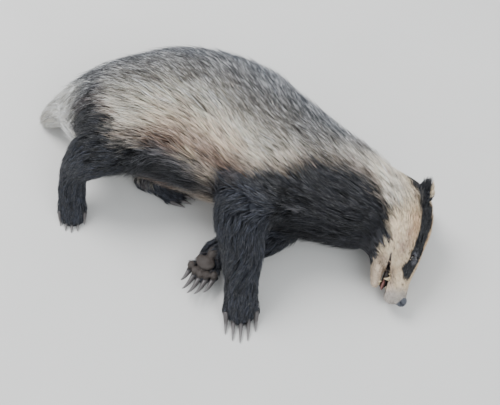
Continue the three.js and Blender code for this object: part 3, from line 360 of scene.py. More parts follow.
def eye_frame(sign):
    c = from_head(EYE[0], EYE[1], sign * EYE[2])
    out = unit(head_vec((0.12, 0.30, sign * 0.95)))
    along = head_vec((0.97, -0.16, 0))
    along = unit(along - out * (along @ out))
    across = np.cross(out, along)
    return c, along, across, out


def nostrils(X, d):
    """The nose pad's own form: two comma-shaped openings and the groove between them."""
    h = to_head(X)
    q = h - np.array([NOSE[0], NOSE[1], 0])
    pad = ellipsoid(h, (NOSE[0] + 0.3, NOSE[1], 0), (7.6, 7.2, 9.2))
    d = smin(d, pad, 2.0)
    for k in (1, -1):
        hole = ellipsoid(q, (6.4, 0.6, 3.9 * k), (4.6, 2.0, 1.9))
        slit = ellipsoid(q, (4.6, -1.0, 7.0 * k), (3.6, 1.1, 2.6))
        d = smax(d, -smin(hole, slit, 1.2), 0.8)
    groove = np.maximum(np.abs(q[:, 2]) - 0.35, q[:, 1] - 1.0)
    d = d + 0.8 * np.exp(-np.clip(groove, 0, 9) ** 2 / 0.5) * ramp(q[:, 0], 1, 5)
    return d


def lids(X, d, sign):
    """Adds the lids round one eye and opens the slit between them."""
    c, along, across, out = eye_frame(sign)
    r = X - c
    far = np.sqrt((r ** 2).sum(1))
    near = far < 22
    if not near.any():
        return d
    r, dn, far = r[near], d[near], far[near]
    a, b, n = r @ along, r @ across, r @ out
    # the lids bulge a little, in an almond longer than it is high
    bulge = np.sqrt((a / 1.25) ** 2 + (b / 1.0) ** 2 + n ** 2) - (EYE_R + 1.5)
    dn = smin(dn, bulge, 4.0)
    # creases above and below the eye
    for off, deep in ((6.2, 0.9), (-6.0, 0.7)):
        crease = np.abs(b - off * np.sqrt(np.clip(1 - (a / 10) ** 2, 0, 1))) - 0.5
        dn = dn + deep * np.exp(-np.clip(crease, 0, 9) ** 2 / 1.6) * (np.abs(a) < 9.5) * ramp(n, -2, 2)
    open_half = 0.85 * np.clip(1 - (a / 4.4) ** 2, 0, 1) ** 0.7
    slit = np.maximum(np.abs(b + 0.5) - open_half, 1.0 - n)
    dn = smax(dn, -slit, 0.5)
    # the ball's own room
    dn = smax(dn, -(far - EYE_R - 0.25), 0.3)
    d = d.copy()
    d[near] = dn
    return d


def shut_body(X):
    """The body with its mouth shut."""
    d = smin(np.minimum(trunk(X), neck(X)), shut_head(X), 14)
    d = smin(d, tail(X), 24)
    return smin(smin(d, limb('fore_right', X), 26), limb('hind_right', X), 26)


def shut_head(X):
    out = np.sqrt(((X - HEAD_MID) ** 2).sum(1)) - 95
    near = out <= 45
    if near.any():
        out[near] = head_local(to_head(X[near]), False)
    return out


def mouth_slot(X):
    p = to_head(X)
    m = np.array(MOUTH)
    wm = np.interp(p[:, 0], m[:, 0], m[:, 1])
    hm = np.interp(p[:, 0], m[:, 0], m[:, 2])
    return smax(np.abs(p[:, 1] - wm) - hm - 0.4, 74.5 - p[:, 0], 3)


def skin_field(X):
    w = shares(X)
    base = shut_body(X)
    dep = depth_of(X, w)
    d = smin(base, limb('fore_left', X), 6)
    d = smin(d, limb('hind_left', X), 6)
    d = d + dep
    near = np.abs(to_head(X)[:, 0] - 100) < 42
    near &= np.sqrt(((X - HEAD_MID) ** 2).sum(1)) < 110
    if near.any():
        d[near] = smax(d[near], -mouth_slot(X[near]), 1.5)
        d[near] = nostrils(X[near], d[near])
    pads = pad_field(X)
    d = smin(d, pads, 1.0)
    for sign in (1, -1):
        e = ears[sign]
        r = np.sqrt(((X - e.base) ** 2).sum(1))
        near = r < 60
        if near.any():
            d[near] = smin(d[near], e(X[near], 0.9, 1.0), 5.0)
        d = lids(X, d, sign)
    return smax(d, -X[:, 2] + FLOOR_SKIN, 2.0)


# ------------------------------------------------------------------ surface from a field
def grid_eval(f, lo, hi, h, B=4):
    """Field on a grid; blocks well away from the surface keep a coarse value."""
    lo = np.asarray(lo, float)
    nb = np.ceil((np.asarray(hi, float) - lo) / (h * B)).astype(int)
    n = nb * B
    ci = np.stack(np.meshgrid(*[np.arange(k) for k in nb], indexing='ij'), -1).reshape(-1, 3)
    cv = f(lo + (ci * B + (B - 1) / 2) * h)
    val = np.broadcast_to(cv.reshape(*nb, 1, 1, 1), (*nb, B, B, B)).copy()
    near = (cv > -B * h * 1.5) & (cv < B * h * 2.5)
    cells = ci[near]
    off = np.stack(np.meshgrid(*[np.arange(B)] * 3, indexing='ij'), -1).reshape(-1, 3)
    for s in range(0, len(cells), 4000):
        c = cells[s:s + 4000]
        P = lo + (c[:, None, :] * B + off[None]) * h
        val[c[:, 0], c[:, 1], c[:, 2]] = f(P.reshape(-1, 3)).reshape(-1, B, B, B)
    return val.transpose(0, 3, 1, 4, 2, 5).reshape(n), lo


def surface_nets(val, lo, h):
    val = np.where(np.abs(val) < 1e-5, 1e-5, val)
    s = val < 0
    c8 = [(0, 0, 0), (1, 0, 0), (0, 1, 0), (1, 1, 0), (0, 0, 1), (1, 0, 1), (0, 1, 1), (1, 1, 1)]
    n = np.array(val.shape) - 1
    cnt = np.zeros(n, np.int8)
    for a, b, c in c8:
        cnt += s[a:a + n[0], b:b + n[1], c:c + n[2]]
    ijk = np.argwhere((cnt > 0) & (cnt < 8))
    idx = np.full(n, -1, np.int64)
    idx[ijk[:, 0], ijk[:, 1], ijk[:, 2]] = np.arange(len(ijk))
    cv = np.stack([val[ijk[:, 0] + a, ijk[:, 1] + b, ijk[:, 2] + c] for a, b, c in c8], 1)
    acc, num = np.zeros((len(ijk), 3)), np.zeros(len(ijk))
    edges = [(p, q) for p in range(8) for q in range(p + 1, 8) if sum(abs(x - y) for x, y in zip(c8[p], c8[q])) == 1]
    for p, q in edges:
        m = (cv[:, p] < 0) != (cv[:, q] < 0)
        t = cv[m, p] / (cv[m, p] - cv[m, q])
        acc[m] += np.array(c8[p]) + t[:, None] * (np.array(c8[q]) - np.array(c8[p]))
        num[m] += 1
    V = lo + (ijk + acc / num[:, None]) * h
    tris = []
    for ax in range(3):
        e = np.zeros(3, int)
        e[ax] = 1
        m = np.array(val.shape) - e
        a = s[:m[0], :m[1], :m[2]]
        b = s[e[0]:, e[1]:, e[2]:]
        g = np.argwhere(a != b)
        o1, o2 = [(ax + 1) % 3, (ax + 2) % 3]
        g = g[(g[:, o1] > 0) & (g[:, o2] > 0) & (g[:, o1] < n[o1]) & (g[:, o2] < n[o2])]
        inside = a[g[:, 0], g[:, 1], g[:, 2]]
        u, w = np.zeros(3, int), np.zeros(3, int)
        u[o1] = 1
        w[o2] = 1
        get = lambda q: idx[q[:, 0], q[:, 1], q[:, 2]]
        A, B_, C_, D_ = get(g - u - w), get(g - w), get(g), get(g - u)
        quad = np.where(inside[:, None], np.stack([A, B_, C_, D_], 1), np.stack([A, D_, C_, B_], 1))
        # split each quad along its shorter diagonal
        d1 = ((V[quad[:, 0]] - V[quad[:, 2]]) ** 2).sum(1)
        d2 = ((V[quad[:, 1]] - V[quad[:, 3]]) ** 2).sum(1)
        k = (d1 <= d2)[:, None]
        tris.append(np.where(k, quad[:, [0, 1, 2]], quad[:, [0, 1, 3]]))
        tris.append(np.where(k, quad[:, [0, 2, 3]], quad[:, [1, 2, 3]]))
    return V, np.vstack(tris)


def gradient(f, X, e=0.3):
    d = f(X)
    g = np.empty_like(X)
    for k in range(3):
        Y = X.copy()
        Y[:, k] += e
        g[:, k] = (f(Y) - d) / e
    return d, g


def onto(f, X, steps=2, reach=1.5, level=0.0):
    X = X.copy()
    for _ in range(steps):
        d, g = gradient(f, X)
        g2 = (g ** 2).sum(1)
        m = np.clip((d - level) / np.maximum(g2, 0.15), -reach, reach)
        X -= g * m[:, None] * 0.9
    return X


def refine(V, T, pick):
    """Splits every triangle edge whose two ends are picked."""
    E = np.sort(np.vstack([T[:, [0, 1]], T[:, [1, 2]], T[:, [2, 0]]]), axis=1)
    key = E[:, 0].astype(np.int64) * len(V) + E[:, 1]
    uniq, inv = np.unique(key, return_inverse=True)
    a, b = uniq // len(V), uniq % len(V)
    cut = pick[a] & pick[b]
    mid = np.full(len(uniq), -1)
    mid[cut] = len(V) + np.arange(cut.sum())
    V2 = np.vstack([V, (V[a[cut]] + V[b[cut]]) / 2])
    m = mid[inv].reshape(3, -1).T
    has = m >= 0
    n = has.sum(1)
    out = [T[n == 0]]
    k3 = n == 3
    t, q = T[k3], m[k3]
    out += [np.stack([t[:, 0], q[:, 0], q[:, 2]], 1), np.stack([q[:, 0], t[:, 1], q[:, 1]], 1), np.stack([q[:, 2], q[:, 1], t[:, 2]], 1), q]
    for r in range(3):
        # one edge cut: edge r
        k = (n == 1) & has[:, r]
        t, q = np.roll(T[k], -r, 1), m[k, r]
        out += [np.stack([t[:, 0], q, t[:, 2]], 1), np.stack([q, t[:, 1], t[:, 2]], 1)]
        # two edges cut: r and r + 1
        k = (n == 2) & ~has[:, (r + 2) % 3]
        t, q0, q1 = np.roll(T[k], -r, 1), m[k, r], m[k, (r + 1) % 3]
        out += [np.stack([q0, t[:, 1], q1], 1), np.stack([t[:, 0], q0, q1], 1), np.stack([t[:, 0], q1, t[:, 2]], 1)]
    return V2, np.vstack(out), cut.sum()


def normals_of(V, T):
    n = np.cross(V[T[:, 1]] - V[T[:, 0]], V[T[:, 2]] - V[T[:, 0]])
    out = np.zeros_like(V)
    for k in range(3):
        np.add.at(out, T[:, k], n)
    return out / np.maximum(np.linalg.norm(out, axis=1), 1e-9)[:, None], n


def build_skin(val, lo, h=2.6):
    V, T = surface_nets(val, lo, h)
    V = onto(skin_field, V, 1)
    hd = to_head(V)
    on_head = (hd[:, 0] > -14) & (np.abs(hd[:, 1]) < 60) & (np.abs(hd[:, 2]) < 60) & (head(V) < 12)
    on_head |= pad_field(V) < 3
    V, T, k = refine(V, T, on_head)
    V[-k:] = onto(skin_field, V[-k:], 1)
    hd = to_head(V)
    # the eyes, nose and mouth get finer triangles
    fine = (hd[:, 0] > 120) & (np.abs(hd[:, 1] + 2) < 16) & (np.abs(hd[:, 2]) < 14)
    fine |= (hd[:, 0] > 76) & (np.abs(mouth_slot(V)) < 2.0) & (np.abs(hd[:, 2]) < 30)
    for sign in (1, -1):
        c = eye_frame(sign)[0]
        fine |= ((V - c) ** 2).sum(1) < 14 ** 2
    V, T, k = refine(V, T, fine)
    V[-k:] = onto(skin_field, V[-k:], 1)
    hd = to_head(V)
    V = onto(skin_field, V, 1)
    return V, T

# ------------------------------------------------------------------ noise, charts and markings
LATTICE = np.random.default_rng(11).random((24, 24, 24))


def vnoise(X, scale, shift=0.0):
    """Smooth value noise, 0 to 1, with features about scale mm across."""
    p = X / scale + shift + 100.0
    i = np.floor(p).astype(int)
    f = p - i
    f = f * f * (3 - 2 * f)
    out = np.zeros(len(X))
    for a in (0, 1):
        for b in (0, 1):
            for c in (0, 1):
                wgt = (f[:, 0] if a else 1 - f[:, 0]) * (f[:, 1] if b else 1 - f[:, 1]) * (f[:, 2] if c else 1 - f[:, 2])
                out += wgt * LATTICE[(i[:, 0] + a) % 24, (i[:, 1] + b) % 24, (i[:, 2] + c) % 24]
    return out


def lin(r, g, b):
    v = np.array([r, g, b], float) / 255
    return np.where(v <= 0.04045, v / 12.92, ((v + 0.055) / 1.055) ** 2.4)


def around(sweep, X, ref):
    """Place along a sweep, past its ends too, and the angle round it from ref, in degrees."""
    _, arc, c, way = sweep.nearest(X, True)
    r = X - c
    over = (r * way).sum(1)
    a = np.cross(np.broadcast_to(np.asarray(ref, float), way.shape), way)
    a /= np.linalg.norm(a, axis=1)[:, None]
    b = np.cross(way, a)
    ang = np.degrees(np.arctan2((r * b).sum(1), (r * a).sum(1)))
    return arc + over, ang, way


def spine_at(X):
    """Arc from the rump, angle from the back line (90 on the right flank, 180 below), direction."""
    _, arc, c, way = spine.nearest(X, True)
    r = X - c
    over = (r * way).sum(1)
    D = np.stack([-way[:, 1], way[:, 0], 0 * way[:, 0]], 1)
    D /= np.linalg.norm(D, axis=1)[:, None]
    phi = np.degrees(np.arctan2(r[:, 2], (r * D).sum(1)))
    return arc, phi, way, arc + over


# colours of the coat as they lie in full soft light
C_SLATE = lin(172, 179, 190)
C_MID = lin(206, 202, 196)
C_LIGHT = lin(244, 234, 216)
C_WARM = lin(232, 211, 188)
C_BROWN = lin(152, 126, 110)
C_BLACK = lin(30, 31, 36)
# black of the legs, lighter and bluer than C_BLACK: the black hair with painted sheen of the sky
C_LEG_BLACK_SHEEN = lin(49, 52, 61)
C_WHITE = lin(226, 208, 180)
C_NAPE = lin(240, 230, 214)
C_RUMP = lin(150, 156, 166)
C_TAIL = lin(255, 250, 240)
C_MUZZLE = lin(214, 193, 164)
C_TIPGREY = lin(172, 166, 160)
C_CHIN = lin(88, 88, 93)
C_JAW = lin(208, 188, 166)
C_STRIPE = lin(30, 31, 35)
C_NOSE = lin(84, 88, 97)
C_LIP = lin(70, 62, 62)
# painted shade of the inside of the mouth
C_MOUTH_SHADE = lin(44, 30, 30)
C_RIM = lin(74, 74, 80)
C_PAD = lin(88, 81, 77)
C_PADDARK = lin(62, 54, 50)
C_SORE = lin(156, 120, 110)
C_TAN = lin(214, 172, 126)
C_EDGE = lin(122, 94, 76)
C_SILVER = lin(146, 144, 148)

BLACK_PHI = [(0, 114), (17, 112), (43, 115), (60, 124), (69, 133), (78, 146), (100, 151), (120, 154), (150, 157), (180, 157), (205, 157),
             (229, 154), (252, 142), (275, 131), (311, 115), (322, 103), (354, 94), (373, 94), (388, 101), (402, 126), (419, 140)]
NAPE_PHI = [(200, 95), (240, 90), (322, 88), (354, 79), (388, 71), (419, 62)]
STRIPE_LOW = [(-20, 58), (16, 59), (49, 59), (62, 63), (74, 61), (82, 72), (91, 90), (105, 87), (110, 78)]
STRIPE_HIGH = [(-20, 24), (0, 22), (20, 21), (40, 20), (55, 20), (73, 29), (90, 37), (104, 58), (110, 76)]


def table(x, t):
    t = np.array(t, float)
    return np.interp(x, t[:, 0], t[:, 1])


def mix(a, b, t):
    return a + (b - a) * np.asarray(t)[:, None]


def leg_black(X, w):
    out = np.zeros(len(X))
    for k, a, b in (('fore_right', 10, 40), ('fore_left', 5, 35), ('hind_right', 26, 52), ('hind_left', 25, 50)):
        _, arc, _, _ = LEG[k].nearest(X, True)
        out = np.maximum(out, ramp(arc, a, b) * ramp(w[k], 0.25, 0.55))
    return np.maximum(out, ramp(w['paws'], 0.3, 0.6))


def markings(X, w=None):
    """Colour, how grizzled, and how bare of fur, at points of the skin."""
    w = w or shares(X)
    arc, phi, _, full = spine_at(X)
    ph = np.abs(phi)
    n1 = vnoise(X, 16) - 0.5
    n2 = vnoise(X, 5, 3.3) - 0.5
    mid = ramp(arc, 88, 128) * (1 - ramp(arc, 222, 262))
    c = mix(np.broadcast_to(C_SLATE, (len(X), 3)), C_MID, np.maximum(ramp(ph + 10 * n1, 44, 80), ramp(arc, 320, 372)))
    c = mix(c, C_LIGHT, ramp(ph + 10 * n1, 72, 104))
    c = mix(c, C_WARM, ramp(ph + 8 * n1, 112, 136) * mid)
    c = mix(c, C_BROWN, ramp(ph + 8 * n1 + 4 * n2, 132, 150) * mid * 0.85)
    c = mix(c, C_RUMP, (1 - ramp(arc, 34, 76)) * ramp(ph, 20, 55) * 0.85)
    g = 0.98 - 0.76 * ramp(ph + 8 * n1, 80, 130)
    band = np.exp(-((ph - table(arc, NAPE_PHI)) / 24.0) ** 2) * np.interp(arc, [200, 260, 330, 385], [0, 0.15, 0.45, 1.0])
    c = mix(c, C_NAPE, band)
    c = mix(c, C_NAPE, ramp(arc, 362, 400) * 0.92)
    g = g * (1 - 0.75 * band) * (1 - 0.8 * ramp(arc, 355, 395))
    c = c * (1 - 0.28 * ramp(arc, 185, 245) * (1 - ramp(arc, 325, 375)) * (1 - ramp(ph, 98, 122)))[:, None]
    g = np.maximum(g, 1.0 * (1 - ramp(arc, 40, 84)) * (ph < 128))
    hip = 1 - ramp(arc, 85, 120)
    dark = ramp(ph - table(arc, BLACK_PHI) + (9 + 6 * hip) * n1 + (5 + 9 * hip) * n2, -5 - 5 * hip, 6 + 3 * hip)
    # a brown edge where pale meets black, silvery hair on the belly, and a painted highlight on the belly hair
    edge = np.exp(-((ph - table(arc, BLACK_PHI) + 9 * n1 + 3) / 8.0) ** 2)
    c = mix(c, C_EDGE, edge * 0.62)
    belly = ramp(arc, 92, 112) * (1 - ramp(arc, 205, 235))
    silver = belly * np.exp(-((ph - 163) / 7.0) ** 2) * (0.45 + 0.55 * ramp(n2, -0.15, 0.2))
    belly_highlight = np.exp(-((arc - 178) / 11.0) ** 2 - ((ph - 156) / 6.0) ** 2)
    tan = np.exp(-((arc - 214) / 20.0) ** 2 - ((ph - 164) / 9.0) ** 2)
    pit = np.exp(-((arc - 311) / 8.0) ** 2 - ((phi - 158) / 4.5) ** 2)
    # tail and the fringe round its root: pale and lightly grizzled
    tl = np.maximum(ramp(w['tail'], 0.2, 0.6), (1 - ramp(full + 16 * n1 + 16 * n2 - 14 * ramp(ph, 30, 80), -22, 10)) * ramp(w['trunk'] + w['tail'], 0.4, 0.8))
    c = mix(c, C_TAIL, tl)
    g = g * (1 - tl) + 0.12 * tl
    dark = dark * (1 - tl)
    dark = np.maximum(dark, leg_black(X, w) * (1 - tl))
    c = mix(c, C_BLACK, dark)
    # black leg hair with a painted blue-grey sheen
    c = mix(c, C_LEG_BLACK_SHEEN, leg_black(X, w) * (1 - tl) * 0.9)
    g = g * (1 - dark) + 0.12 * dark
    on = (w['trunk'] + w['neck']) * (1 - leg_black(X, w))
    c = mix(c, C_SILVER, np.clip(silver * on, 0, 1) * 0.42)
    # painted highlight: a whitish patch on the dark belly hair
    c = mix(c, C_WHITE, belly_highlight * on * 0.7)
    c = mix(c, C_WARM, tan * on * 0.55)
    c = mix(c, C_SILVER, pit * on * 0.6)
    # head
    hd = ramp(w['head'], 0.30, 0.72)
    h = to_head(X)
    u = h[:, 0]
    al = np.degrees(np.arctan2(np.abs(h[:, 2]), h[:, 1]))
    k = np.broadcast_to(C_WHITE, (len(X), 3))
    k = mix(k, C_MUZZLE, ramp(u, 66, 98))
    k = mix(k, C_SORE, np.clip(0.5 + 1.2 * n2, 0, 1) * np.exp(-((u - 58) / 17) ** 4 - ((al - 70 - 0.6 * (u - 40)) / 10) ** 2) * (h[:, 2] > 0))
    throat = ramp(al + 7 * n1 + 4 * n2 - np.interp(u, [-30, 60, 66, 72, 80, 90], [97, 98, 107, 128, 154, 178]), 0, 12) * (1 - ramp(u + 5 * n1, 84, 98))
    k = mix(k, mix(np.broadcast_to(C_BLACK, (len(X), 3)), C_CHIN, ramp(u, 48, 84) * 0.9), throat)
    k = mix(k, C_JAW, ramp(al, 112, 128) * ramp(u, 70, 79) * (1 - throat))
    k = mix(k, C_TAN, 0.5 * (1 - ramp(al, 66, 88)) * np.exp(-((u - 46) / 34.0) ** 2))
    k = mix(k, C_TIPGREY, ramp(u + 4 * n2, 110, 124) * 0.85)
    wob = 3.0 * n2 + 3.0 * n1
    st = ramp(al - table(u, STRIPE_HIGH) + wob, -3.5, 2.5) * (1 - ramp(al - table(u, STRIPE_LOW) + wob, -2.5, 3.0)) * (1 - ramp(u + 3 * n2, 101, 109))
    k = mix(k, C_STRIPE, st)
    c = mix(c, k, hd)
    g = g * (1 - hd) + 0.05 * hd
    bare = np.zeros(len(X))
    # nose pad
    nose = ellipsoid(h, (NOSE[0], NOSE[1], 0), NOSE[2])
    pad = 1 - ramp(nose, -0.6, 0.4)
    pad = pad * ramp(u, 124.5, 126.0)
    c = mix(c, C_NOSE, pad)
    bare = np.maximum(bare, pad)
    # lips, and painted shade inside the mouth, darker the deeper it lies
    m = np.array(MOUTH)
    gap = np.abs(h[:, 1] - np.interp(u, m[:, 0], m[:, 1])) - np.maximum(np.interp(u, m[:, 0], m[:, 2]), 0)
    lip = (1 - ramp(gap, 0.6, 1.8)) * ramp(u, 72, 75) * hd
    inner_shade = (1 - ramp(skull_rim(h), -5.0, -2.0)) * lip
    c = mix(c, mix(np.broadcast_to(C_LIP, (len(X), 3)), C_MOUTH_SHADE, inner_shade), lip)
    bare = np.maximum(bare, lip)
    # rims of the eyes and the ears
    for sign in (1, -1):
        cc, along, across, out = eye_frame(sign)
        r = X - cc
        e = np.sqrt((r @ along / 2.0) ** 2 + (np.maximum(r @ across - 0.6, -1.25 * (r @ across - 0.6))) ** 2 + (np.minimum(r @ out, 0)) ** 2)
        rim = 1 - ramp(e + 0.7 * n2, 3.6, 5.2)
        c = mix(c, C_STRIPE, 1 - ramp(e, 6.2, 8.6))
        c = mix(c, C_RIM, rim)
        bare = np.maximum(bare, (1 - ramp(e, 3.0, 4.6)))
        a, wd, fc = ears[sign].local(X)
        on = 1 - ramp(ears[sign].shell(X), 1.5, 4.0)
        on = on * ramp(a, -4, 1)
        white = ramp(sign * wd + 1.5 * n2, 5.5, 7.5) * ramp(a, 3, 7)
        white = np.maximum(white, ramp(a + 2 * n2, 8, 12) * (sign < 0))
        c = mix(c, mix(np.broadcast_to(C_BLACK, (len(X), 3)), C_WHITE, white), on)
    # bare pads of the upturned forepaw
    pd = 1 - ramp(pad_field(X), 0.4, 1.3)
    c = mix(c, mix(np.broadcast_to(C_PAD, (len(X), 3)), C_PADDARK, 0.8 * vnoise(X, 7, 9.0)), pd)
    rim_pad = np.exp(-((pad_field(X) - 0.9) / 0.9) ** 2)
    c = mix(c, C_PADDARK * 0.5, 0.7 * rim_pad)
    bare = np.maximum(bare, pd)
    return c, np.clip(g, 0, 1), bare


def skull_rim(h):
    """Rough depth inside the muzzle, negative deep in the mouth."""
    return smin(skull(h), jaw(h), 4)


def flow(X, w=None):
    """The way the hair lies: backward over head and body, down the legs to the toes."""
    w = w or shares(X)
    arc, phi, way, _ = spine_at(X)
    ph = np.radians(phi)
    # direction toward the belly, round the body
    D = np.stack([-way[:, 1], way[:, 0], 0 * way[:, 0]], 1)
    D /= np.linalg.norm(D, axis=1)[:, None]
    Z = np.zeros_like(X)
    Z[:, 2] = 1
    down = -D * np.sin(ph)[:, None] + Z * np.cos(ph)[:, None]
    down *= np.sign(phi)[:, None]
    a_ = np.abs(phi)
    lean = 0.25 * ramp(a_, 20, 90) * (1 - ramp(a_, 140, 175))
    # on the upper side the hair is swept from the elbow and throat up toward the back
    swept = np.interp(arc, [0, 50, 90, 130, 230, 300, 340, 400, 419], [0.06, 0.02, -0.12, -0.28, -0.24, -0.06, -0.04, -0.18, -0.1])
    swept = swept * ramp(phi, 8, 55) * (1 - 0.5 * ramp(phi, 160, 180))
    lean = np.where(phi > 0, swept, lean)
    # high on the legs the hair still lies as on the body
    onleg = {}
    rest = w['trunk'] + w['neck']
    for name, a0, a1 in (('fore_right', 22, 66), ('fore_left', 10, 40), ('hind_right', 26, 62), ('hind_left', 14, 40)):
        _, la, _, lw = LEG[name].nearest(X, True)
        f_ = ramp(la, a0, a1)
        onleg[name] = (lw, w[name] * f_)
        rest = rest + w[name] * (1 - f_)
    v = (-way + down * lean[:, None]) * rest[:, None]
    h = to_head(X)
    side = np.sign(h[:, 2])[:, None] * headR
    back = -headF + 0.18 * side * ramp(h[:, 0], 20, 90)[:, None]
    # over the cheeks the hair turns a little down and out
    cheek = ramp(np.abs(np.degrees(np.arctan2(np.abs(h[:, 2]), h[:, 1]))), 60, 110) * (1 - ramp(h[:, 0], 60, 90))
    back = back - 0.35 * cheek[:, None] * headD
    v = v + back * (w['head'] * 1.2)[:, None]
    for name, (lw, share) in onleg.items():
        v = v + lw * (share * 1.2)[:, None]
        if name == 'fore_right':
            # along the foreleg the hair runs aslant
            _, la, _, _ = LEG[name].nearest(X, True)
            v[:, 0] -= 0.75 * share * ramp(la, 60, 95) * (1 - ramp(la, 150, 185))
    _, _, _, tw = tail.nearest(X, True)
    v = v + tw * (w['tail'] * 1.2)[:, None]
    pw = np.zeros_like(X)
    near = np.argmin(np.stack([paw[k](X) for k in LEG]), 0)
    for i, k in enumerate(LEG):
        pw[near == i] = paw[k].f
    v = v + pw * (w['paws'] * 1.2)[:, None]
    for sign in (1, -1):
        a, _, _ = ears[sign].local(X)
        on = (1 - ramp(ears[sign].shell(X), 1.0, 4.0)) * ramp(a, -5, 0)
        v = v * (1 - on)[:, None] + ears[sign].axis * on[:, None]
    return v / np.maximum(np.linalg.norm(v, axis=1), 1e-6)[:, None]


# charts of the unwrap: name, low corner, scale of each axis
REG = ['body', 'head', 'tail', 'fore_right', 'fore_left', 'hind_right', 'hind_left'] + ['paw_' + k + s for k in LEG for s in ('_top', '_sole')] + \
      ['ear_r_in', 'ear_r_out', 'ear_l_in', 'ear_l_out']
RI = {k: i for i, k in enumerate(REG)}


def regions(X, N):
    w = shares(X)
    names = ['trunk', 'neck', 'head', 'tail', 'fore_right', 'fore_left', 'hind_right', 'hind_left', 'paws']
    best = np.argmax(np.stack([w[k] for k in names]), 0)
    to = np.array([RI['body'], RI['body'], RI['head'], RI['tail'], RI['fore_right'], RI['fore_left'], RI['hind_right'], RI['hind_left'], -1])
    r = to[best]
    near = np.argmin(np.stack([paw[k](X) for k in LEG]), 0)
    for i, k in enumerate(LEG):
        m = (r == -1) & (near == i)
        top = N @ paw[k].up > 0
        r[m & top] = RI['paw_' + k + '_top']
        r[m & ~top] = RI['paw_' + k + '_sole']
    for sign, s in ((1, 'r'), (-1, 'l')):
        a, _, _ = ears[sign].local(X)
        m = (ears[sign].shell(X) < 1.2) & (a > 1.5)
        top = N @ ears[sign].face > 0
        r[m & top] = RI['ear_' + s + '_in']
        r[m & ~top] = RI['ear_' + s + '_out']
    return r


def chart(X, reg):
    """Place on the unwrap of the skin and, in mm, along and across the region."""
    ab = np.zeros((len(X), 2))
    uv = np.zeros((len(X), 2))

    def put(m, a, b, lo, scale, a0, b0):
        ab[m] = np.stack([a, b], 1)
        uv[m] = np.stack([lo[0] + (a - a0) * scale, lo[1] + (b - b0) * scale], 1)

    m = reg == RI['body']
    if m.any():
        _, phi, _, s = spine_at(X[m])
        put(m, s, phi * 1.45, (0.02, 0.02), 0.001, -70, -265)
    m = reg == RI['head']
    if m.any():
        h = to_head(X[m])
        rho = np.hypot(h[:, 1], h[:, 2])
        uu = h[:, 0] + np.clip(17 - rho, 0, 17) * ramp(h[:, 0], 112, 124)
        put(m, uu, np.degrees(np.arctan2(h[:, 2], h[:, 1])) * 0.66, (0.58, 0.02), 0.0016, -24, -124)
    m = reg == RI['tail']
    if m.any():
        s, ang, _ = around(tail, X[m], (0, 0, 1))
        put(m, s, ang * 0.42, (0.58, 0.47), 0.001, -30, -80)
    for i, k in enumerate(('fore_right', 'fore_left', 'hind_right', 'hind_left')):
        m = reg == RI[k]
        if m.any():
            s, ang, _ = around(LEG[k], X[m], (0.3, 0.2, 1) if k != 'fore_right' else (1, 0, 0.2))
            put(m, s, ang * 0.5, (0.85, 0.02 + 0.235 * i), 0.00085, -10, -100)
    for i, k in enumerate(LEG):
        p = paw[k]
        for j, s in enumerate(('_top', '_sole')):
            m = reg == RI['paw_' + k + s]
            if m.any():
                q = X[m] - p.o
                put(m, q @ p.f, q @ p.side, (0.02 + 0.13 * i, 0.62 + 0.12 * j), 0.0013, -30, -38)
    for i, s in enumerate(('r', 'l')):
        e = ears[1 if s == 'r' else -1]
        for j, t in enumerate(('_in', '_out')):
            m = reg == RI['ear_' + s + t]
            if m.any():
                a, b, _ = e.local(X[m])
                put(m, a, b, (0.02 + 0.08 * (2 * i + j), 0.88), 0.0018, -4, -16)
    return uv, ab

# ------------------------------------------------------------------ locks of the coat
class Grid:
    """The skin's distance and its gradient, read between grid points."""

    def __init__(self, val, lo, h):
        self.lo, self.h = lo, h
        g = np.gradient(val, h)
        self.q = np.stack([val, *g], -1).astype(np.float32)
        self.n = np.array(val.shape)

    def __call__(self, X):
        p = np.clip((X - self.lo) / self.h, 0.001, self.n - 1.001)
        i = p.astype(int)
        f = (p - i).astype(np.float32)
        out = np.zeros((len(X), 4), np.float32)
        for a in (0, 1):
            for b in (0, 1):
                for c in (0, 1):
                    w = (f[:, 0] if a else 1 - f[:, 0]) * (f[:, 1] if b else 1 - f[:, 1]) * (f[:, 2] if c else 1 - f[:, 2])
                    out += w[:, None] * self.q[i[:, 0] + a, i[:, 1] + b, i[:, 2] + c]
        return out[:, 0].astype(float), out[:, 1:].astype(float)

    def level(self, X, height, steps=2, reach=6.0):
        for _ in range(steps):
            d, g = self(X)
            g2 = np.maximum((g ** 2).sum(1), 0.2)
            X = X - g * np.clip((d - height) / g2, -reach, reach)[:, None]
        return X

    def normal(self, X):
        _, g = self(X)
        return g / np.maximum(np.linalg.norm(g, axis=1), 1e-6)[:, None]


def tangent(v, n):
    v = v - n * (v * n).sum(1)[:, None]
    return v / np.maximum(np.linalg.norm(v, axis=1), 1e-6)[:, None]


LOCK_LEN = dict(trunk=36, neck=33, tail=38, head=6.6, fore_right=19, fore_left=13, hind_right=18, hind_left=13, paws=9)
LOCK_WIDE = dict(trunk=1.1, neck=1.0, tail=1.05, head=0.5, fore_right=1.15, fore_left=1.1, hind_right=1.15, hind_left=1.1, paws=0.75)
CLUMP_R = dict(trunk=3.4, neck=3.2, tail=3.2, head=1.5, fore_right=2.4, fore_left=2.2, hind_right=2.4, hind_left=2.2, paws=1.3)
# locks per square mm of skin
DENSITY = dict(trunk=0.34, neck=0.42, tail=0.46, head=0.80, fore_right=0.55, fore_left=0.45, hind_right=0.55, hind_left=0.45, paws=0.55)


def blend_of(t, w):
    return sum(w[k] * t[k] for k in t)


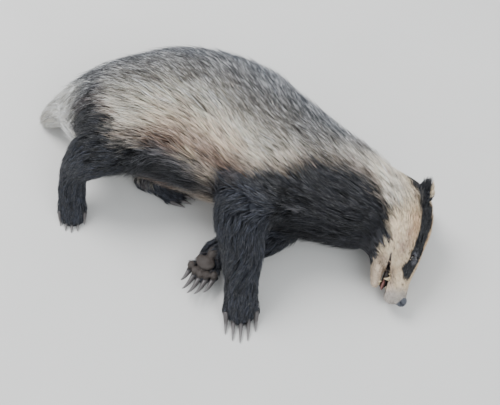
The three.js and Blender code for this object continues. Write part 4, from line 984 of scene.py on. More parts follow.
def coat(V, T, grid, seed=5, per=8, budget=148000):
    rng = np.random.default_rng(seed)
    A = np.linalg.norm(np.cross(V[T[:, 1]] - V[T[:, 0]], V[T[:, 2]] - V[T[:, 0]]), axis=1) / 2
    M = V[T].mean(1)
    w = shares(M)
    dens = blend_of(DENSITY, w)
    VN, FN = normals_of(V, T)
    FN = FN / np.maximum(np.linalg.norm(FN, axis=1), 1e-9)[:, None]
    # few where the animal lies on the floor
    under = (1 - ramp(M[:, 2], 5, 14)) * ramp(-FN[:, 2], 0.3, 0.8)
    dens = dens * (1 - 0.85 * under)
    _, _, bare = markings(M, w)
    dens = dens * (1 - ramp(bare, 0.05, 0.4))
    want = A * dens
    n = min(int(want.sum() / per), budget // per)
    pick = rng.choice(len(T), n, p=want / want.sum())
    r1, r2 = np.sqrt(rng.random(n)), rng.random(n)
    bc = np.stack([1 - r1, r1 * (1 - r2), r1 * r2], 1)
    C = (V[T[pick]] * bc[:, :, None]).sum(1)
    w = shares(C)
    N = grid.normal(C)
    F = tangent(flow(C, w), N)
    B = np.cross(N, F)
    h = to_head(C)
    u = h[:, 0]
    al = np.degrees(np.arctan2(np.abs(h[:, 2]), h[:, 1]))
    arc, phi, _, _ = spine_at(C)
    hd = ramp(w['head'], 0.3, 0.7)
    L = blend_of(LOCK_LEN, w)
    on_body = w['trunk'] + w['neck']
    L = L * (1 - 0.22 * on_body * ramp(np.abs(phi), 105, 150))
    cheek = hd * ramp(al, 66, 100) * (1 - ramp(u, 52, 78))
    L = L + 3.0 * cheek + 7 * hd * (1 - ramp(u, 4, 26)) + 7 * hd * ramp(al, 104, 118) * (1 - ramp(u, 62, 80))
    L = L * (1 - 0.55 * hd * ramp(u, 62, 100))
    W = blend_of(LOCK_WIDE, w) * (1 - 0.25 * hd * ramp(u, 62, 100)) * (1 + 0.1 * cheek)
    R = blend_of(CLUMP_R, w) * (1 + 0.25 * cheek)
    dep = depth_of(C, w)
    ear, eartip = np.zeros(n), np.zeros(n)
    for sign in (1, -1):
        a, _, _ = ears[sign].local(C)
        on = (1 - ramp(ears[sign].shell(C), 1.5, 4.0)) * ramp(a, -4, 1)
        ear = np.maximum(ear, on)
        eartip = np.maximum(eartip, on * ramp(a, 6, 15) * (sign > 0))
    L = L * (1 - ear) + (5.5 + 5.5 * eartip) * ear
    W = W * (1 - ear) + 0.55 * ear
    R = R * (1 - ear) + 1.0 * ear
    dep = dep * (1 - ear) + 1.6 * ear
    L = np.where((ear > 0.3) & (h[:, 2] < 0), 3.6, L)
    dep = np.where((ear > 0.3) & (h[:, 2] < 0), 0.9, dep)
    by = (h[:, 2] < 0) & (ears[-1].shell(C) < 12)
    L, dep = np.where(by, np.minimum(L, 4.0), L), np.where(by, np.minimum(dep, 1.3), dep)
    # in front of the right ear the hair is short, so none of it stands past the head
    a1, wd1, _ = ears[1].local(C)
    by = (ears[1].shell(C) < 9) & (a1 < 3) & (wd1 > 2)
    L, dep = np.where(by, np.minimum(L, 5.0), L), np.where(by, np.minimum(dep, 1.6), dep)
    # tufts over the roots of the claws
    toe = np.zeros(n)
    for k in ('fore_right', 'hind_right', 'hind_left'):
        for cl in paw[k].claws:
            near = 1 - ramp(np.linalg.norm(C - (cl['root'] - paw[k].f * 3.0), axis=1), 5.0, 8.5)
            toe = np.maximum(toe, near * ramp(N @ paw[k].up, 0.0, 0.4))
    L = L * (1 - toe) + 12 * toe
    W = W * (1 - toe) + 0.6 * toe
    R = R * (1 - toe) + 1.2 * toe
    # the short facial hair lies flat
    face = hd * (1 - ear) * ramp(u, 24, 44) * (1 - ramp(al, 100, 114) * (1 - ramp(u, 64, 78)))
    dep = dep * (1 - 0.45 * face)
    # lengths vary a little at random
    L = L * (0.85 + 0.3 * rng.random(n))
    # clump paths: root, knee, tip
    lift = 0.85 + 0.3 * rng.random(n)
    yaw = 0.10 * rng.standard_normal(n) + 0.5 * (vnoise(C, 26, 4.4) - 0.5)
    F = F * np.cos(yaw)[:, None] + B * np.sin(yaw)[:, None]
    B = np.cross(N, F)
    hk = dep * 0.52 * lift
    ht = dep * 0.80 * lift
    K = grid.level(C + F * (L * 0.42)[:, None] + N * hk[:, None], hk)
    NK = grid.normal(K)
    F2 = tangent(F, NK)
    E = grid.level(K + F2 * (L * 0.58)[:, None], ht)
    # the locks of each clump
    m = n * per
    rep = lambda x: np.repeat(x, per, axis=0)
    q, s = rng.standard_normal(m) * 0.55, rng.standard_normal(m) * 0.55
    off = (rep(F) * q[:, None] + rep(B) * s[:, None]) * rep(R)[:, None]
    stray = rng.random(m) < 0.22 * (1 - 0.6 * rep(face))
    close = np.where(stray, 1.15, 0.55 + 0.45 * rng.random(m))
    amp = np.where(stray, 1.0, 0.0)
    P = grid.level(rep(C) + off, -0.5, 2)
    flat = rep(face)
    up = 1 + 0.28 * rng.standard_normal(m) * (1 + 0.6 * amp) * (1 - 0.5 * flat)
    up = np.clip(up, 0.35, 1.75)
    long = 1 + 0.14 * rng.standard_normal(m) + 0.15 * amp
    jit = rng.standard_normal(m) * np.where(stray, 0.16, 0.06) * rep(L)
    K2 = rep(K) + off * 0.72 + rep(F) * (rep(L) * 0.42 * (long - 1))[:, None] + rep(np.cross(NK, F2)) * (jit * 0.35)[:, None]
    K2 = grid.level(K2, rep(hk) * up, 2)
    E2 = rep(E) + off * close[:, None] + rep(F2) * (rep(L) * (long - 1))[:, None] + rep(np.cross(NK, F2)) * jit[:, None]
    tipup = np.clip(up + 0.10 * rng.standard_normal(m), 0.35, 1.25) + np.where(stray, 0.35 * rng.random(m), 0.0)
    E2 = grid.level(E2, rep(ht) * tipup, 2)
    # no hair strays far off the skin
    dK, dE = grid(K2)[0], grid(E2)[0]
    out = (dK > 2.0 * rep(dep) + 1.0)[:, None]
    K2 = np.where(out, P + (K2 - P) * 0.35, K2)
    out = out | (dE > 2.2 * rep(dep) + 1.2)[:, None]
    E2 = np.where(out, P + (E2 - P) * 0.3, E2)
    # the hair at the tips of the ears stands past them
    et = rep(np.maximum(np.maximum(eartip, 0.8 * toe), 0.22 * ramp(w["tail"], 0.5, 0.9)))[:, None]
    E2 = E2 * (1 - et) + (K2 + rep(F * L[:, None]) * 0.62 * long[:, None]) * et
    wide = rep(W) * (0.75 + 0.5 * rng.random(m)) * np.where(stray, 0.62, 1.0)
    n0 = grid.normal(P)
    d0 = tangent(K2 - P, n0)
    b0 = np.cross(n0, d0)
    # turned a little about its own length
    turn = 0.5 * rng.standard_normal(m)
    side = b0 * np.cos(turn)[:, None] + n0 * np.sin(turn)[:, None]
    top = n0 * np.cos(turn)[:, None] - b0 * np.sin(turn)[:, None]
    nk = grid.normal(K2)
    dk = (E2 - P)
    dk /= np.maximum(np.linalg.norm(dk, axis=1), 1e-6)[:, None]
    side2 = side - dk * (side * dk).sum(1)[:, None]
    side2 /= np.maximum(np.linalg.norm(side2, axis=1), 1e-6)[:, None]
    top2 = np.cross(side2, dk)
    top2 *= np.sign((top2 * nk).sum(1) + 1e-9)[:, None]
    hw = (wide / 2)[:, None]
    X = np.empty((m, 7, 3))
    X[:, 0] = P - side * hw * 0.8
    X[:, 1] = P + side * hw * 0.8
    X[:, 2] = P + top * hw * 0.7
    X[:, 3] = K2 - side2 * hw
    X[:, 4] = K2 + side2 * hw
    X[:, 5] = K2 + top2 * hw * 0.75
    X[:, 6] = E2
    X[:, :, 2] = np.maximum(X[:, :, 2], 0.35 + 0.25 * rng.random(m)[:, None])
    # colour, one per lock, with its own small change
    w0 = shares(P)
    col, g, _ = markings(P, w0)
    dark_ = col.mean(1)
    tint = 1 + (0.15 + 0.12 * g) * (1 - 0.6 * flat) * rng.standard_normal(m) + rep(rng.standard_normal(n)) * (0.11 + 0.13 * g) * (1 - 0.7 * flat)
    # some hairs and some whole wisps of the grizzled coat are dark all along
    deep = (rng.random(m) < 0.32 * g) | (rep(rng.random(n)) < 0.40 * g * (0.4 + 1.2 * rep(vnoise(C, 14, 6.1))))
    tint = np.where(deep, tint * 0.24, tint)
    tint = np.where(dark_ < 0.1, tint * (1 + rep(0.30 * rng.standard_normal(n)) + 0.28 * rng.standard_normal(m)), tint)
    # a few pale hairs in the black fur: partly paler brown hairs, partly painted sheen on the black hair
    tint = np.where((dark_ < 0.1) & (rng.random(m) < 0.08), 2.7, tint)
    tint *= 0.88 + 0.24 * vnoise(P, 30, 1.7)
    warm = 1 + 0.02 * rng.standard_normal((m, 3))
    col = np.clip(col * np.clip(tint, 0.2, 2.6)[:, None] * warm, 0.006, 0.92)
    g = np.where(deep, g * 0.5, g)
    reg = regions(P, n0)
    uv0, _ = chart(P, reg)
    return X, col, np.clip(g, 0, 1), rng.random(m), uv0, 0.6 * flat


LOCK_TRIS = np.array([(0, 2, 1), (0, 1, 4), (0, 4, 3), (1, 2, 5), (1, 5, 4), (2, 0, 3), (2, 3, 5), (3, 4, 6), (4, 5, 6), (5, 3, 6)])
LOCK_T = np.array([0.0, 0.0, 0.0, 0.45, 0.45, 0.45, 1.0])

# ------------------------------------------------------------------ making objects
lo_, hi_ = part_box('eye_right')
SHIFT = (np.array(lo_) + np.array(hi_)) * 500.0 - from_head(EYE[0], EYE[1], EYE[2])


def metres(X):
    return (X + SHIFT) * 0.001


def make(name, X, tris, uv=None, smooth=True, attrs=(), mat=None, nodes=()):
    """A mesh object from arrays; uv is per corner, attrs are (name, kind, values per vertex)."""
    me = bpy.data.meshes.new(name)
    X = metres(X).astype(np.float32)
    tris = np.ascontiguousarray(tris, np.int32)
    me.vertices.add(len(X))
    me.vertices.foreach_set('co', X.ravel())
    me.loops.add(len(tris) * 3)
    me.loops.foreach_set('vertex_index', tris.ravel())
    me.polygons.add(len(tris))
    me.polygons.foreach_set('loop_start', np.arange(0, len(tris) * 3, 3, dtype=np.int32))
    me.polygons.foreach_set('use_smooth', np.full(len(tris), smooth))
    me.update(calc_edges=True)
    if uv is not None:
        layer = me.uv_layers.new(name='OFBake')
        layer.uv.foreach_set('vector', np.ascontiguousarray(uv, np.float32).ravel())
    for an, kind, val in attrs:
        at = me.attributes.new(an, kind, 'POINT')
        key = {'FLOAT_COLOR': 'color', 'FLOAT_VECTOR': 'vector', 'FLOAT': 'value'}[kind]
        at.data.foreach_set(key, np.ascontiguousarray(val, np.float32).ravel())
    ob = bpy.data.objects.new(name, me)
    bpy.context.scene.collection.objects.link(ob)
    if mat:
        me.materials.append(mat)
    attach(ob, 'root')
    if nodes:
        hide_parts(*nodes)
    return ob


# ------------------------------------------------------------------ materials
class Mat:
    """Small helper that builds a node material."""

    def __init__(self, name, **sockets):
        self.m = bpy.data.materials.new(name)
        self.m.use_nodes = True
        self.t = self.m.node_tree
        self.p = self.t.nodes['Principled BSDF']
        for k, v in sockets.items():
            self.p.inputs[k.replace('_', ' ')].default_value = v

    def node(self, kind, **props):
        n = self.t.nodes.new(kind)
        ins = props.pop('ins', {})
        for k, v in props.items():
            setattr(n, k, v)
        for k, v in ins.items():
            if hasattr(v, 'is_output') or hasattr(v, 'links'):
                self.t.links.new(v, n.inputs[k])
            else:
                n.inputs[k].default_value = v
        return n

    def link(self, out, socket):
        self.t.links.new(out, self.p.inputs[socket])

    def attr(self, name, out='Color'):
        return self.node('ShaderNodeAttribute', attribute_name=name).outputs[out]

    def noise(self, scale, vec=None, detail=3.0, rough=0.5):
        n = self.node('ShaderNodeTexNoise', ins={'Scale': scale, 'Detail': detail, 'Roughness': rough})
        if vec is not None:
            self.t.links.new(vec, n.inputs['Vector'])
        return n.outputs[0]

    def coords(self):
        return self.node('ShaderNodeTexCoord').outputs['Object']

    def math(self, op, a, b=0.5, c=0.0, clamp=False):
        n = self.node('ShaderNodeMath', operation=op, use_clamp=clamp)
        for i, v in enumerate((a, b, c)):
            if hasattr(v, 'links'):
                self.t.links.new(v, n.inputs[i])
            else:
                n.inputs[i].default_value = v
        return n.outputs[0]

    def span(self, v, a, b, c, d):
        return self.node('ShaderNodeMapRange', interpolation_type='SMOOTHSTEP', ins={0: v, 1: a, 2: b, 3: c, 4: d}).outputs[0]

    def mix(self, fac, a, b, kind='MIX'):
        n = self.node('ShaderNodeMix', data_type='RGBA', blend_type=kind)
        for i, v in ((0, fac), (6, a), (7, b)):
            if hasattr(v, 'links'):
                self.t.links.new(v, n.inputs[i])
            else:
                n.inputs[i].default_value = v
        return n.outputs[2]

    def bump(self, height, strength, distance, under=None):
        n = self.node('ShaderNodeBump', ins={'Strength': strength, 'Distance': distance, 'Height': height})
        if under is not None:
            self.t.links.new(under, n.inputs['Normal'])
        return n.outputs[0]


def grey(v):
    return (v, v, v, 1.0)


def rgba(c):
    return (float(c[0]), float(c[1]), float(c[2]), 1.0)


def coat_material():
    m = Mat('coat_hair', Roughness=0.62, Specular_IOR_Level=0.5)
    m.p.inputs['Sheen Weight'].default_value = 0.0
    col = m.attr('col')
    lock = m.attr('lock', 'Vector')
    sep = m.node('ShaderNodeSeparateXYZ', ins={0: lock})
    t, g, r = sep.outputs[0], sep.outputs[1], sep.outputs[2]
    fine = m.noise(900.0, m.coords(), 2.0)
    # painted shade: darker toward the root, deep in the coat, lighter toward the tip
    shade = m.math('MULTIPLY_ADD', t, 0.48, 0.72)
    shade = m.math('MULTIPLY_ADD', fine, 0.30, m.math('SUBTRACT', shade, 0.15))
    base = m.mix(1.0, col, m.node('ShaderNodeCombineColor', ins={0: shade, 1: shade, 2: shade}).outputs[0], 'MULTIPLY')
    # grizzled hairs: a dark band below a pale tip
    at = m.math('MULTIPLY_ADD', r, 0.26, t)
    up = m.span(at, 0.42, 0.58, 0.0, 1.0)
    down = m.span(at, 0.86, 0.98, 1.0, 0.0)
    band = m.math('MULTIPLY', m.math('MULTIPLY', up, down), m.math('MULTIPLY', g, 0.86))
    base = m.mix(band, base, rgba(lin(40, 43, 50)))
    tip = m.math('MULTIPLY', m.span(at, 0.90, 1.0, 0.0, 1.0), m.math('MULTIPLY', g, 0.85))
    base = m.mix(tip, base, rgba(lin(240, 241, 243)))
    m.link(base, 'Base Color')
    m.link(m.math('MULTIPLY_ADD', fine, 0.22, 0.48), 'Roughness')
    m.link(m.bump(fine, 0.25, 0.0004), 'Normal')
    return m.m


def skin_material():
    m = Mat('badger_skin', Roughness=0.7, Specular_IOR_Level=0.4)
    col, bare = m.attr('col'), m.attr('bare', 'Fac')
    fuv = m.attr('fuv', 'Vector')
    streak = m.node('ShaderNodeMapping', ins={'Vector': fuv, 'Scale': (0.16, 1.1, 1.0)}).outputs[0]
    hair = m.noise(1.0, streak, 4.0, 0.6)
    obj = m.coords()
    soft = m.noise(120.0, obj, 3.0)
    cells = m.node('ShaderNodeTexVoronoi', feature='DISTANCE_TO_EDGE', ins={'Vector': obj, 'Scale': 900.0}).outputs['Distance']
    grain = m.noise(1600.0, obj, 2.0)
    furry = m.math('SUBTRACT', 1.0, bare)
    vary = m.math('MULTIPLY_ADD', hair, 0.9, 0.45)
    vary = m.math('ADD', m.math('MULTIPLY', vary, furry), m.math('MULTIPLY', m.math('MULTIPLY_ADD', soft, 0.5, 0.75), bare))
    base = m.mix(1.0, col, m.node('ShaderNodeCombineColor', ins={0: vary, 1: vary, 2: vary}).outputs[0], 'MULTIPLY')
    m.link(base, 'Base Color')
    rough = m.math('ADD', m.math('MULTIPLY', furry, 0.78), m.math('MULTIPLY', bare, m.math('MULTIPLY_ADD', grain, 0.25, 0.34)))
    m.link(rough, 'Roughness')
    high = m.math('ADD', m.math('MULTIPLY', hair, furry), m.math('MULTIPLY', m.math('MINIMUM', m.math('MULTIPLY', cells, 6.0), 1.0), m.math('MULTIPLY', bare, 0.4)))
    b1 = m.bump(high, 0.7, 0.0009)
    m.link(m.bump(grain, 0.12, 0.0003, b1), 'Normal')
    return m.m


def eye_material():
    m = Mat('eye_dark', Roughness=0.08, Specular_IOR_Level=0.6)
    fuv = m.attr('fuv', 'Vector')
    sep = m.node('ShaderNodeSeparateXYZ', ins={0: fuv})
    far = sep.outputs[0]
    ring = m.span(far, 0.30, 0.42, 0.0, 1.0)
    white = m.span(far, 0.86, 0.94, 0.0, 1.0)
    n = m.noise(1500.0, m.coords(), 3.0)
    iris = m.mix(n, rgba(lin(26, 19, 15)), rgba(lin(52, 38, 28)))
    c = m.mix(ring, rgba(lin(8, 8, 10)), iris)
    c = m.mix(white, c, rgba(lin(84, 76, 72)))
    m.link(c, 'Base Color')
    m.link(m.math('MULTIPLY_ADD', n, 0.08, 0.06), 'Roughness')
    m.link(m.bump(n, 0.05, 0.0001), 'Normal')
    m.p.inputs['Coat Weight'].default_value = 0.5
    m.p.inputs['Coat Roughness'].default_value = 0.05
    return m.m


def horn_material():
    m = Mat('claw_horn_grey', Roughness=0.45, Specular_IOR_Level=0.5)
    fuv = m.attr('fuv', 'Vector')
    sep = m.node('ShaderNodeSeparateXYZ', ins={0: fuv})
    lines = m.noise(1.0, m.node('ShaderNodeMapping', ins={'Vector': fuv, 'Scale': (1.2, 9.0, 9.0)}).outputs[0], 4.0, 0.6)
    c = m.mix(m.span(sep.outputs[0], 0.1, 0.95, 0.0, 1.0), rgba(lin(84, 80, 80)), rgba(lin(142, 139, 138)))
    c = m.mix(m.math('MULTIPLY', lines, 0.5), c, rgba(lin(58, 55, 55)))
    m.link(c, 'Base Color')
    m.link(m.math('MULTIPLY_ADD', lines, 0.3, 0.28), 'Roughness')
    m.link(m.bump(lines, 0.4, 0.0004), 'Normal')
    return m.m


def flesh_material(name, c1, c2, rough, bumpy=0.5):
    m = Mat(name, Roughness=rough, Specular_IOR_Level=0.55)
    o = m.coords()
    n = m.noise(260.0, o, 4.0, 0.6)
    f = m.noise(1800.0, o, 2.0)
    m.link(m.mix(n, rgba(c1), rgba(c2)), 'Base Color')
    m.link(m.math('MULTIPLY_ADD', f, 0.25, rough - 0.12), 'Roughness')
    m.link(m.bump(f, bumpy, 0.0004), 'Normal')
    return m.m

# ------------------------------------------------------------------ amounts
COAT_LOCKS = 148000
SKY, KEY, FILL = 1.03, 64.0, 29.0


def tube(rings, caps=True):
    """Vertices and triangles of a closed tube from rings of equal length."""
    n, k = len(rings), len(rings[0])
    X = np.concatenate(rings)
    i, j = np.meshgrid(np.arange(n - 1), np.arange(k), indexing='ij')
    a = (i * k + j).ravel()
    b = (i * k + (j + 1) % k).ravel()
    tris = np.concatenate([np.stack([a, b, b + k], 1), np.stack([a, b + k, a + k], 1)])
    X = np.vstack([X, rings[0].mean(0), rings[-1].mean(0)])
    j = np.arange(k)
    tris = np.vstack([tris, np.stack([np.full(k, n * k), (j + 1) % k, j], 1),
                      np.stack([np.full(k, n * k + 1), (n - 1) * k + j, (n - 1) * k + (j + 1) % k], 1)])
    return X, tris


def joined(parts):
    """Joins (vertices, triangles, per-vertex vector) lists."""
    X, T, A, n = [], [], [], 0
    for x, t, a in parts:
        X.append(x)
        T.append(t + n)
        A.append(a)
        n += len(x)
    return np.vstack(X), np.vstack(T), np.vstack(A)


def horn(root, f, up, side, length, r, bend, back=6.0, rings=22, sides=16, power=0.6, floor=True):
    """A bent tapered claw or tooth; fuv is (0 root to 1 tip, round, round)."""
    out, att = [], []
    p = root.copy()
    steps = np.linspace(0, 1, rings)
    hop = length / (rings - 1)
    for t in steps[:1]:
        for s in (back, back * 0.5):
            ang = np.linspace(0, 2 * math.pi, sides, endpoint=False)
            rr = r * 1.02 + 0.35
            c = root - f * s
            out.append(c + side * (np.cos(ang) * rr * 0.8)[:, None] + up * (np.sin(ang) * rr * 1.1)[:, None])
            att.append(np.stack([np.zeros(sides), np.cos(ang) * 0.3, np.sin(ang) * 0.3], 1))
    for t in steps:
        rr = r * (1 - t) ** power * (1 - 0.12 * t) + 0.28 * (1 - 0.5 * t)
        a = bend * t
        way = unit(f * math.cos(a) - up * math.sin(a))
        low = rr * 1.15 + 0.4
        c = p.copy()
        if floor:
            c[2] = max(c[2], low)
            if c[2] + way[2] * hop < low:
                way = unit([way[0], way[1], (low - c[2]) / hop])
        nrm = unit(np.cross(side, way))
        ang = np.linspace(0, 2 * math.pi, sides, endpoint=False)
        # flatter below, like a digging claw
        hgt = np.sin(ang) * rr * 1.1
        hgt = np.where(hgt * np.sign(nrm @ up + 1e-9) < 0, hgt * 0.75, hgt)
        out.append(c + side * (np.cos(ang) * rr * 0.8)[:, None] + nrm * hgt[:, None])
        att.append(np.stack([np.full(sides, t), np.cos(ang) * 0.3, np.sin(ang) * 0.3], 1))
        p = c + way * hop
    X, T = tube(out)
    A = np.vstack(att + [np.array([[0, 0, 0], [1, 0, 0]])])
    # outward faces
    v = (X[T[:, 0]] * np.cross(X[T[:, 1]], X[T[:, 2]])).sum()
    c = X.mean(0)
    v = ((X[T[:, 0]] - c) * np.cross(X[T[:, 1]] - c, X[T[:, 2]] - c)).sum()
    if v < 0:
        T = T[:, ::-1]
    return X, T, A


def ball(c, out, along, r, rings=40, sides=48):
    """An eyeball with a slightly raised cornea; fuv.x is the angle from its front, 0 to 1 at 70 degrees."""
    across = np.cross(out, along)
    R, A = [], []
    for th in np.linspace(0.02, math.pi - 0.02, rings):
        ang = np.linspace(0, 2 * math.pi, sides, endpoint=False)
        rr = r + 0.35 * math.exp(-(th / 0.55) ** 2)
        R.append(c + out * (math.cos(th) * rr) + (along * np.cos(ang)[:, None] + across * np.sin(ang)[:, None]) * (math.sin(th) * rr))
        A.append(np.stack([np.full(sides, th / 1.22), np.cos(ang), np.sin(ang)], 1))
    X, T = tube(R)
    A = np.vstack(A + [np.array([[0, 0, 0], [2.5, 0, 0]])])
    c0 = X.mean(0)
    v = ((X[T[:, 0]] - c0) * np.cross(X[T[:, 1]] - c0, X[T[:, 2]] - c0)).sum()
    return X, (T if v > 0 else T[:, ::-1]), A


# ------------------------------------------------------------------ skin
M_SKIN, M_COAT, M_EYE, M_HORN = skin_material(), coat_material(), eye_material(), horn_material()
M_TOOTH = flesh_material('tooth_ivory', lin(214, 200, 168), lin(190, 170, 134), 0.35, 0.15)
M_TONGUE = flesh_material('tongue_pink', lin(134, 90, 84), lin(104, 70, 67), 0.42, 0.6)

val, lo = grid_eval(skin_field, (-312, -190, -6), (258, 226, 186), 2.6)
grid = Grid(val, lo, 2.6)
V, T = build_skin(val, lo)
VN, FN = normals_of(V, T)
w = shares(V)
col, gz, bare = markings(V, w)
# skin under the coat: the markings with random tone, and a little darker on the whole as painted shade beneath the
# locks
under = vnoise(V, 9, 5.0)
shaded_skin_col = col * (0.80 + 0.25 * under)[:, None]
M3 = V[T].mean(1)
treg = regions(M3, FN / np.maximum(np.linalg.norm(FN, axis=1), 1e-9)[:, None])
cuv, cab = chart(V[T].reshape(-1, 3), np.repeat(treg, 3))
cuv = cuv.reshape(-1, 3, 2)
# corners on the far side of a chart's cut are brought back beside the others
for name, axis_span in (('body', 360 * 1.45 * 0.001), ('head', 360 * 0.66 * 0.0016), ('tail', 360 * 0.42 * 0.001),
                        ('fore_right', 180 * 0.00085), ('fore_left', 180 * 0.00085), ('hind_right', 180 * 0.00085), ('hind_left', 180 * 0.00085)):
    m = treg == RI[name]
    b = cuv[m, :, 1]
    wide = b.max(1) - b.min(1) > axis_span / 2
    b[wide] = np.where(b[wide] > b[wide].mean(1)[:, None], b[wide] - axis_span, b[wide])
    cuv[m, :, 1] = b
vreg = regions(V, VN)
_, vab = chart(V, vreg)
fuv = np.column_stack([vab, vreg * 40.0])
FLESH = ['trunk', 'neck', 'tail', 'head', 'lower_jaw', 'ear_right', 'ear_left', 'nose', 'foreleg_right', 'foreleg_left', 'hindleg_right', 'hindleg_left',
         'forepaw_right', 'forepaw_left', 'hindpaw_right', 'hindpaw_left']
skin = make('skin', V, T, uv=np.clip(cuv, 0.001, 0.999), attrs=[('col', 'FLOAT_COLOR', np.column_stack([shaded_skin_col, np.ones(len(V))])), ('bare', 'FLOAT', bare),
            ('fuv', 'FLOAT_VECTOR', fuv)], mat=M_SKIN, nodes=FLESH)

# ------------------------------------------------------------------ coat
PIECES = 8
X, ccol, cg, cr, cuv0, cbase = coat(V, T, grid, per=PIECES, budget=COAT_LOCKS)
for k in range(PIECES):
    s = slice(k, None, PIECES)
    x, cc, g, r, u0, b0 = X[s], ccol[s], cg[s], cr[s], cuv0[s], cbase[s][:, None]
    m = len(x)
    tris = (LOCK_TRIS[None] + (np.arange(m) * 7)[:, None, None]).reshape(-1, 3)
    tv = np.tile(LOCK_T, (m, 1))
    off = np.array([-0.0011, 0.0011, 0.0, -0.0011, 0.0011, 0.0, 0.0])
    vuv = u0[:, None, :] + np.stack([np.broadcast_to(off, (m, 7)), tv * 0.003], -1)
    vuv = np.clip(vuv.reshape(-1, 2), 0.001, 0.999)
    lock = np.stack([b0 + (1 - b0) * tv, np.broadcast_to(g[:, None], (m, 7)), np.broadcast_to(r[:, None], (m, 7))], -1).reshape(-1, 3)
    c4 = np.concatenate([np.broadcast_to(cc[:, None, :], (m, 7, 3)), np.ones((m, 7, 1))], -1).reshape(-1, 4)
    make('coat_%d' % (k + 1), x.reshape(-1, 3), tris, uv=vuv[tris.ravel()], attrs=[('col', 'FLOAT_COLOR', c4), ('lock', 'FLOAT_VECTOR', lock)],
         mat=M_COAT)

# ------------------------------------------------------------------ claws, eyes, teeth, tongue
for name, P in paw.items():
    parts = [horn(c['root'], P.f, P.up, P.side, c['len'], c['r'] * 1.22, c['bend']) for c in P.claws]
    x, t, a = joined(parts)
    cad = [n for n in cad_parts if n.startswith('claw_' + name + '_')]
    make('claws_' + name, x, t, attrs=[('fuv', 'FLOAT_VECTOR', a)], mat=M_HORN, nodes=cad)
for sign, side in ((1, 'right'), (-1, 'left')):
    c, along, across, out = eye_frame(sign)
    x, t, a = ball(c, out, along, EYE_R)
    make('eyeball_' + side, x, t, attrs=[('fuv', 'FLOAT_VECTOR', a)], mat=M_EYE, nodes=['eye_' + side])

teeth = []


def tooth(u, w_, s, way, length, r, bend=0.25):
    f = unit(head_vec(way))
    sd = unit(np.cross(f, headF))
    return horn(from_head(u, w_, s), f, np.cross(sd, f), sd, length, r, bend, back=2.5, rings=12, sides=14, power=0.7, floor=False)


for k in (1, -1):
    teeth.append(tooth(101.5, -15.5, 7.8 * k, (0.05, -1, 0.04 * k), 6.2, 2.2))
    teeth.append(tooth(104, -27.5, 5.4 * k, (0.12, 1, 0.05 * k), 3.6, 1.6))
    for q in range(3):
        teeth.append(tooth(113.5 - 1.0 * q, -17.0, (1.3 + 2.0 * q) * k, (0.1, -1, 0), 2.8 + 0.4 * (q == 2), 1.1, 0.1))
        teeth.append(tooth(107.5 - 0.8 * q, -29.0, (1.0 + 1.5 * q) * k, (0.1, 1, 0), 2.8, 0.95, 0.1))
    teeth.append(tooth(95, -14.0, 5.2 * k, (0, -1, 0), 1.4, 1.4, 0.0))
x, t, a = joined(teeth)
make('teeth', x, t, attrs=[('fuv', 'FLOAT_VECTOR', a)], mat=M_TOOTH)

st = spline([(u, wv, 0, hh, ww) for u, wv, hh, ww in [(80, -16.0, 0.8, 1.6), (92, -18.6, 1.0, 1.8), (101, -20.8, 1.5, 2.6), (106, -21.9, 2.5, 5.8), (111, -23.6, 2.4, 4.8), (114.5, -25.0, 0.6, 1.6)]], 8)
rings = []
ang = np.linspace(0, 2 * math.pi, 28, endpoint=False)
for uu, wv, _, hh, ww in st:
    cs, sn = np.cos(ang), np.sin(ang)
    dip = -0.55 * np.exp(-(cs / 0.25) ** 2) * (sn > 0) * min(hh, 1.5)
    rings.append(np.array([from_head(uu, wv + hh * s_ + d_, ww * c_) for c_, s_, d_ in zip(cs, sn, dip)]))
x, t = tube(rings)
c0 = x.mean(0)
if ((x[t[:, 0]] - c0) * np.cross(x[t[:, 1]] - c0, x[t[:, 2]] - c0)).sum() < 0:
    t = t[:, ::-1]
make('tongue_flesh', x, t, attrs=[('fuv', 'FLOAT_VECTOR', np.zeros((len(x), 3)))], mat=M_TONGUE, nodes=['tongue'])

# painted shade: a dark piece deep between the jaws, where the mouth lies in shade
M_JAW_GAP_SHADE = flesh_material('jaw_gap_shade', lin(38, 27, 27), lin(24, 17, 17), 0.5, 0.4)
rings = []
for uu, wv, _, hh, ww in spline([(u, wv, 0, hh, ww) for u, wv, hh, ww in [(74, -12.8, 1.2, 2.0), (82, -14.6, 2.6, 3.0), (92, -16.6, 3.6, 3.2), (102, -19.6, 4.4, 3.0), (109, -22.4, 4.6, 2.4), (112, -23.6, 1.0, 0.8)]], 8):
    rings.append(np.array([from_head(uu, wv + hh * math.sin(q), ww * math.cos(q)) for q in ang]))
x, t = tube(rings)
c0 = x.mean(0)
if ((x[t[:, 0]] - c0) * np.cross(x[t[:, 1]] - c0, x[t[:, 2]] - c0)).sum() < 0:
    t = t[:, ::-1]
make('jaw_gap_shade', x, t, attrs=[('fuv', 'FLOAT_VECTOR', np.zeros((len(x), 3)))], mat=M_JAW_GAP_SHADE)

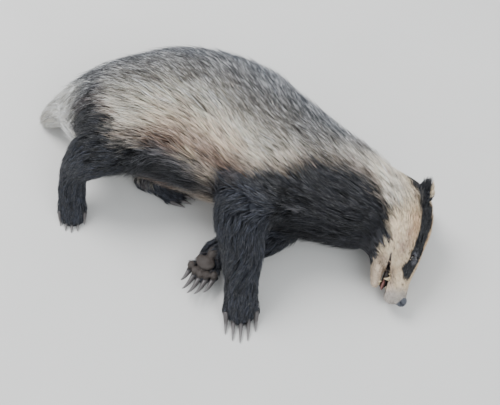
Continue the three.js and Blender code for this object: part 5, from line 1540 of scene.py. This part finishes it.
# ------------------------------------------------------------------ whiskers
rng = np.random.default_rng(3)
parts = []
for k in (1, -1):
    for q in range(12):
        uu, ang_ = 101 + 14 * rng.random(), 88 + 34 * rng.random()
        d = head_vec((0, math.cos(math.radians(ang_)), math.sin(math.radians(ang_)) * k))
        p0 = from_head(uu, -4, 0) + d * 12
        p0 = grid.level(p0[None], -0.6, 4)[0]
        way = unit(d * 0.75 - headF * (0.55 + 0.3 * rng.random()) + 0.1 * rng.standard_normal(3))
        parts.append((p0, way, 16 + 13 * rng.random()))
ws, wt, wa = [], [], []
for p0, way, ln in parts:
    sd = unit(np.cross(way, [0.3, 0.2, 0.9]))
    nn = np.cross(sd, way)
    rr = []
    for t_ in np.linspace(0, 1, 6):
        c = p0 + way * ln * t_ - np.array([0, 0, 1]) * 2.2 * t_ * t_
        c[2] = max(c[2], 0.8)
        a3 = np.linspace(0, 2 * math.pi, 4, endpoint=False)
        rr.append(c + (sd * np.cos(a3)[:, None] + nn * np.sin(a3)[:, None]) * 0.22 * (1.02 - t_))
    x, t = tube(rr)
    ws.append((x, t, np.zeros((len(x), 3))))
x, t, a = joined(ws)
M_WHISKER = flesh_material('whisker_hair', lin(60, 56, 54), lin(120, 112, 104), 0.5, 0.2)
make('whiskers', x, t, attrs=[('fuv', 'FLOAT_VECTOR', a)], mat=M_WHISKER)

# ------------------------------------------------------------------ floor, light, camera
me = bpy.data.meshes.new('floor')
me.from_pydata([(-4, -4, 0), (4, -4, 0), (4, 4, 0), (-4, 4, 0)], [], [(0, 1, 2, 3)])
floor = bpy.data.objects.new('floor', me)
bpy.context.scene.collection.objects.link(floor)
F_ = Mat('floor_pale', Roughness=0.8)
n = F_.noise(6.0, F_.coords(), 3.0)
F_.link(F_.mix(n, rgba(lin(214, 213, 210)), rgba(lin(222, 221, 218))), 'Base Color')
me.materials.append(F_.m)

world = bpy.data.worlds.new('soft_sky')
bpy.context.scene.world = world
world.use_nodes = True
world.node_tree.nodes['Background'].inputs[0].default_value = (0.93, 0.965, 1.0, 1)
world.node_tree.nodes['Background'].inputs[1].default_value = SKY


def lamp(name, at, look, size, power, colour=(1, 1, 1)):
    l = bpy.data.lights.new(name, 'AREA')
    l.shape = 'DISK'
    l.size, l.energy, l.color = size, power, colour
    o = bpy.data.objects.new(name, l)
    o.location = at
    o.rotation_euler = (Vector(look) - Vector(at)).to_track_quat('-Z', 'Y').to_euler()
    bpy.context.scene.collection.objects.link(o)


lamp('key', (-1.0, 1.0, 2.2), (0, 0, 0.05), 1.4, KEY, (0.99, 0.99, 1.0))
lamp('fill', (1.2, -1.6, 1.7), (0, 0, 0.05), 1.8, FILL, (0.93, 0.97, 1.0))

cam = bpy.data.cameras.new('camera')
cam.lens, cam.sensor_width, cam.sensor_fit = 62.77, 36.0, 'HORIZONTAL'
cam.clip_start, cam.clip_end = 0.05, 20
co = bpy.data.objects.new('camera', cam)
co.location = metres(np.array([0.0, -557.986, 1026.461]))
co.rotation_euler = (math.radians(30.0), 0, 0)
bpy.context.scene.collection.objects.link(co)
bpy.context.scene.camera = co
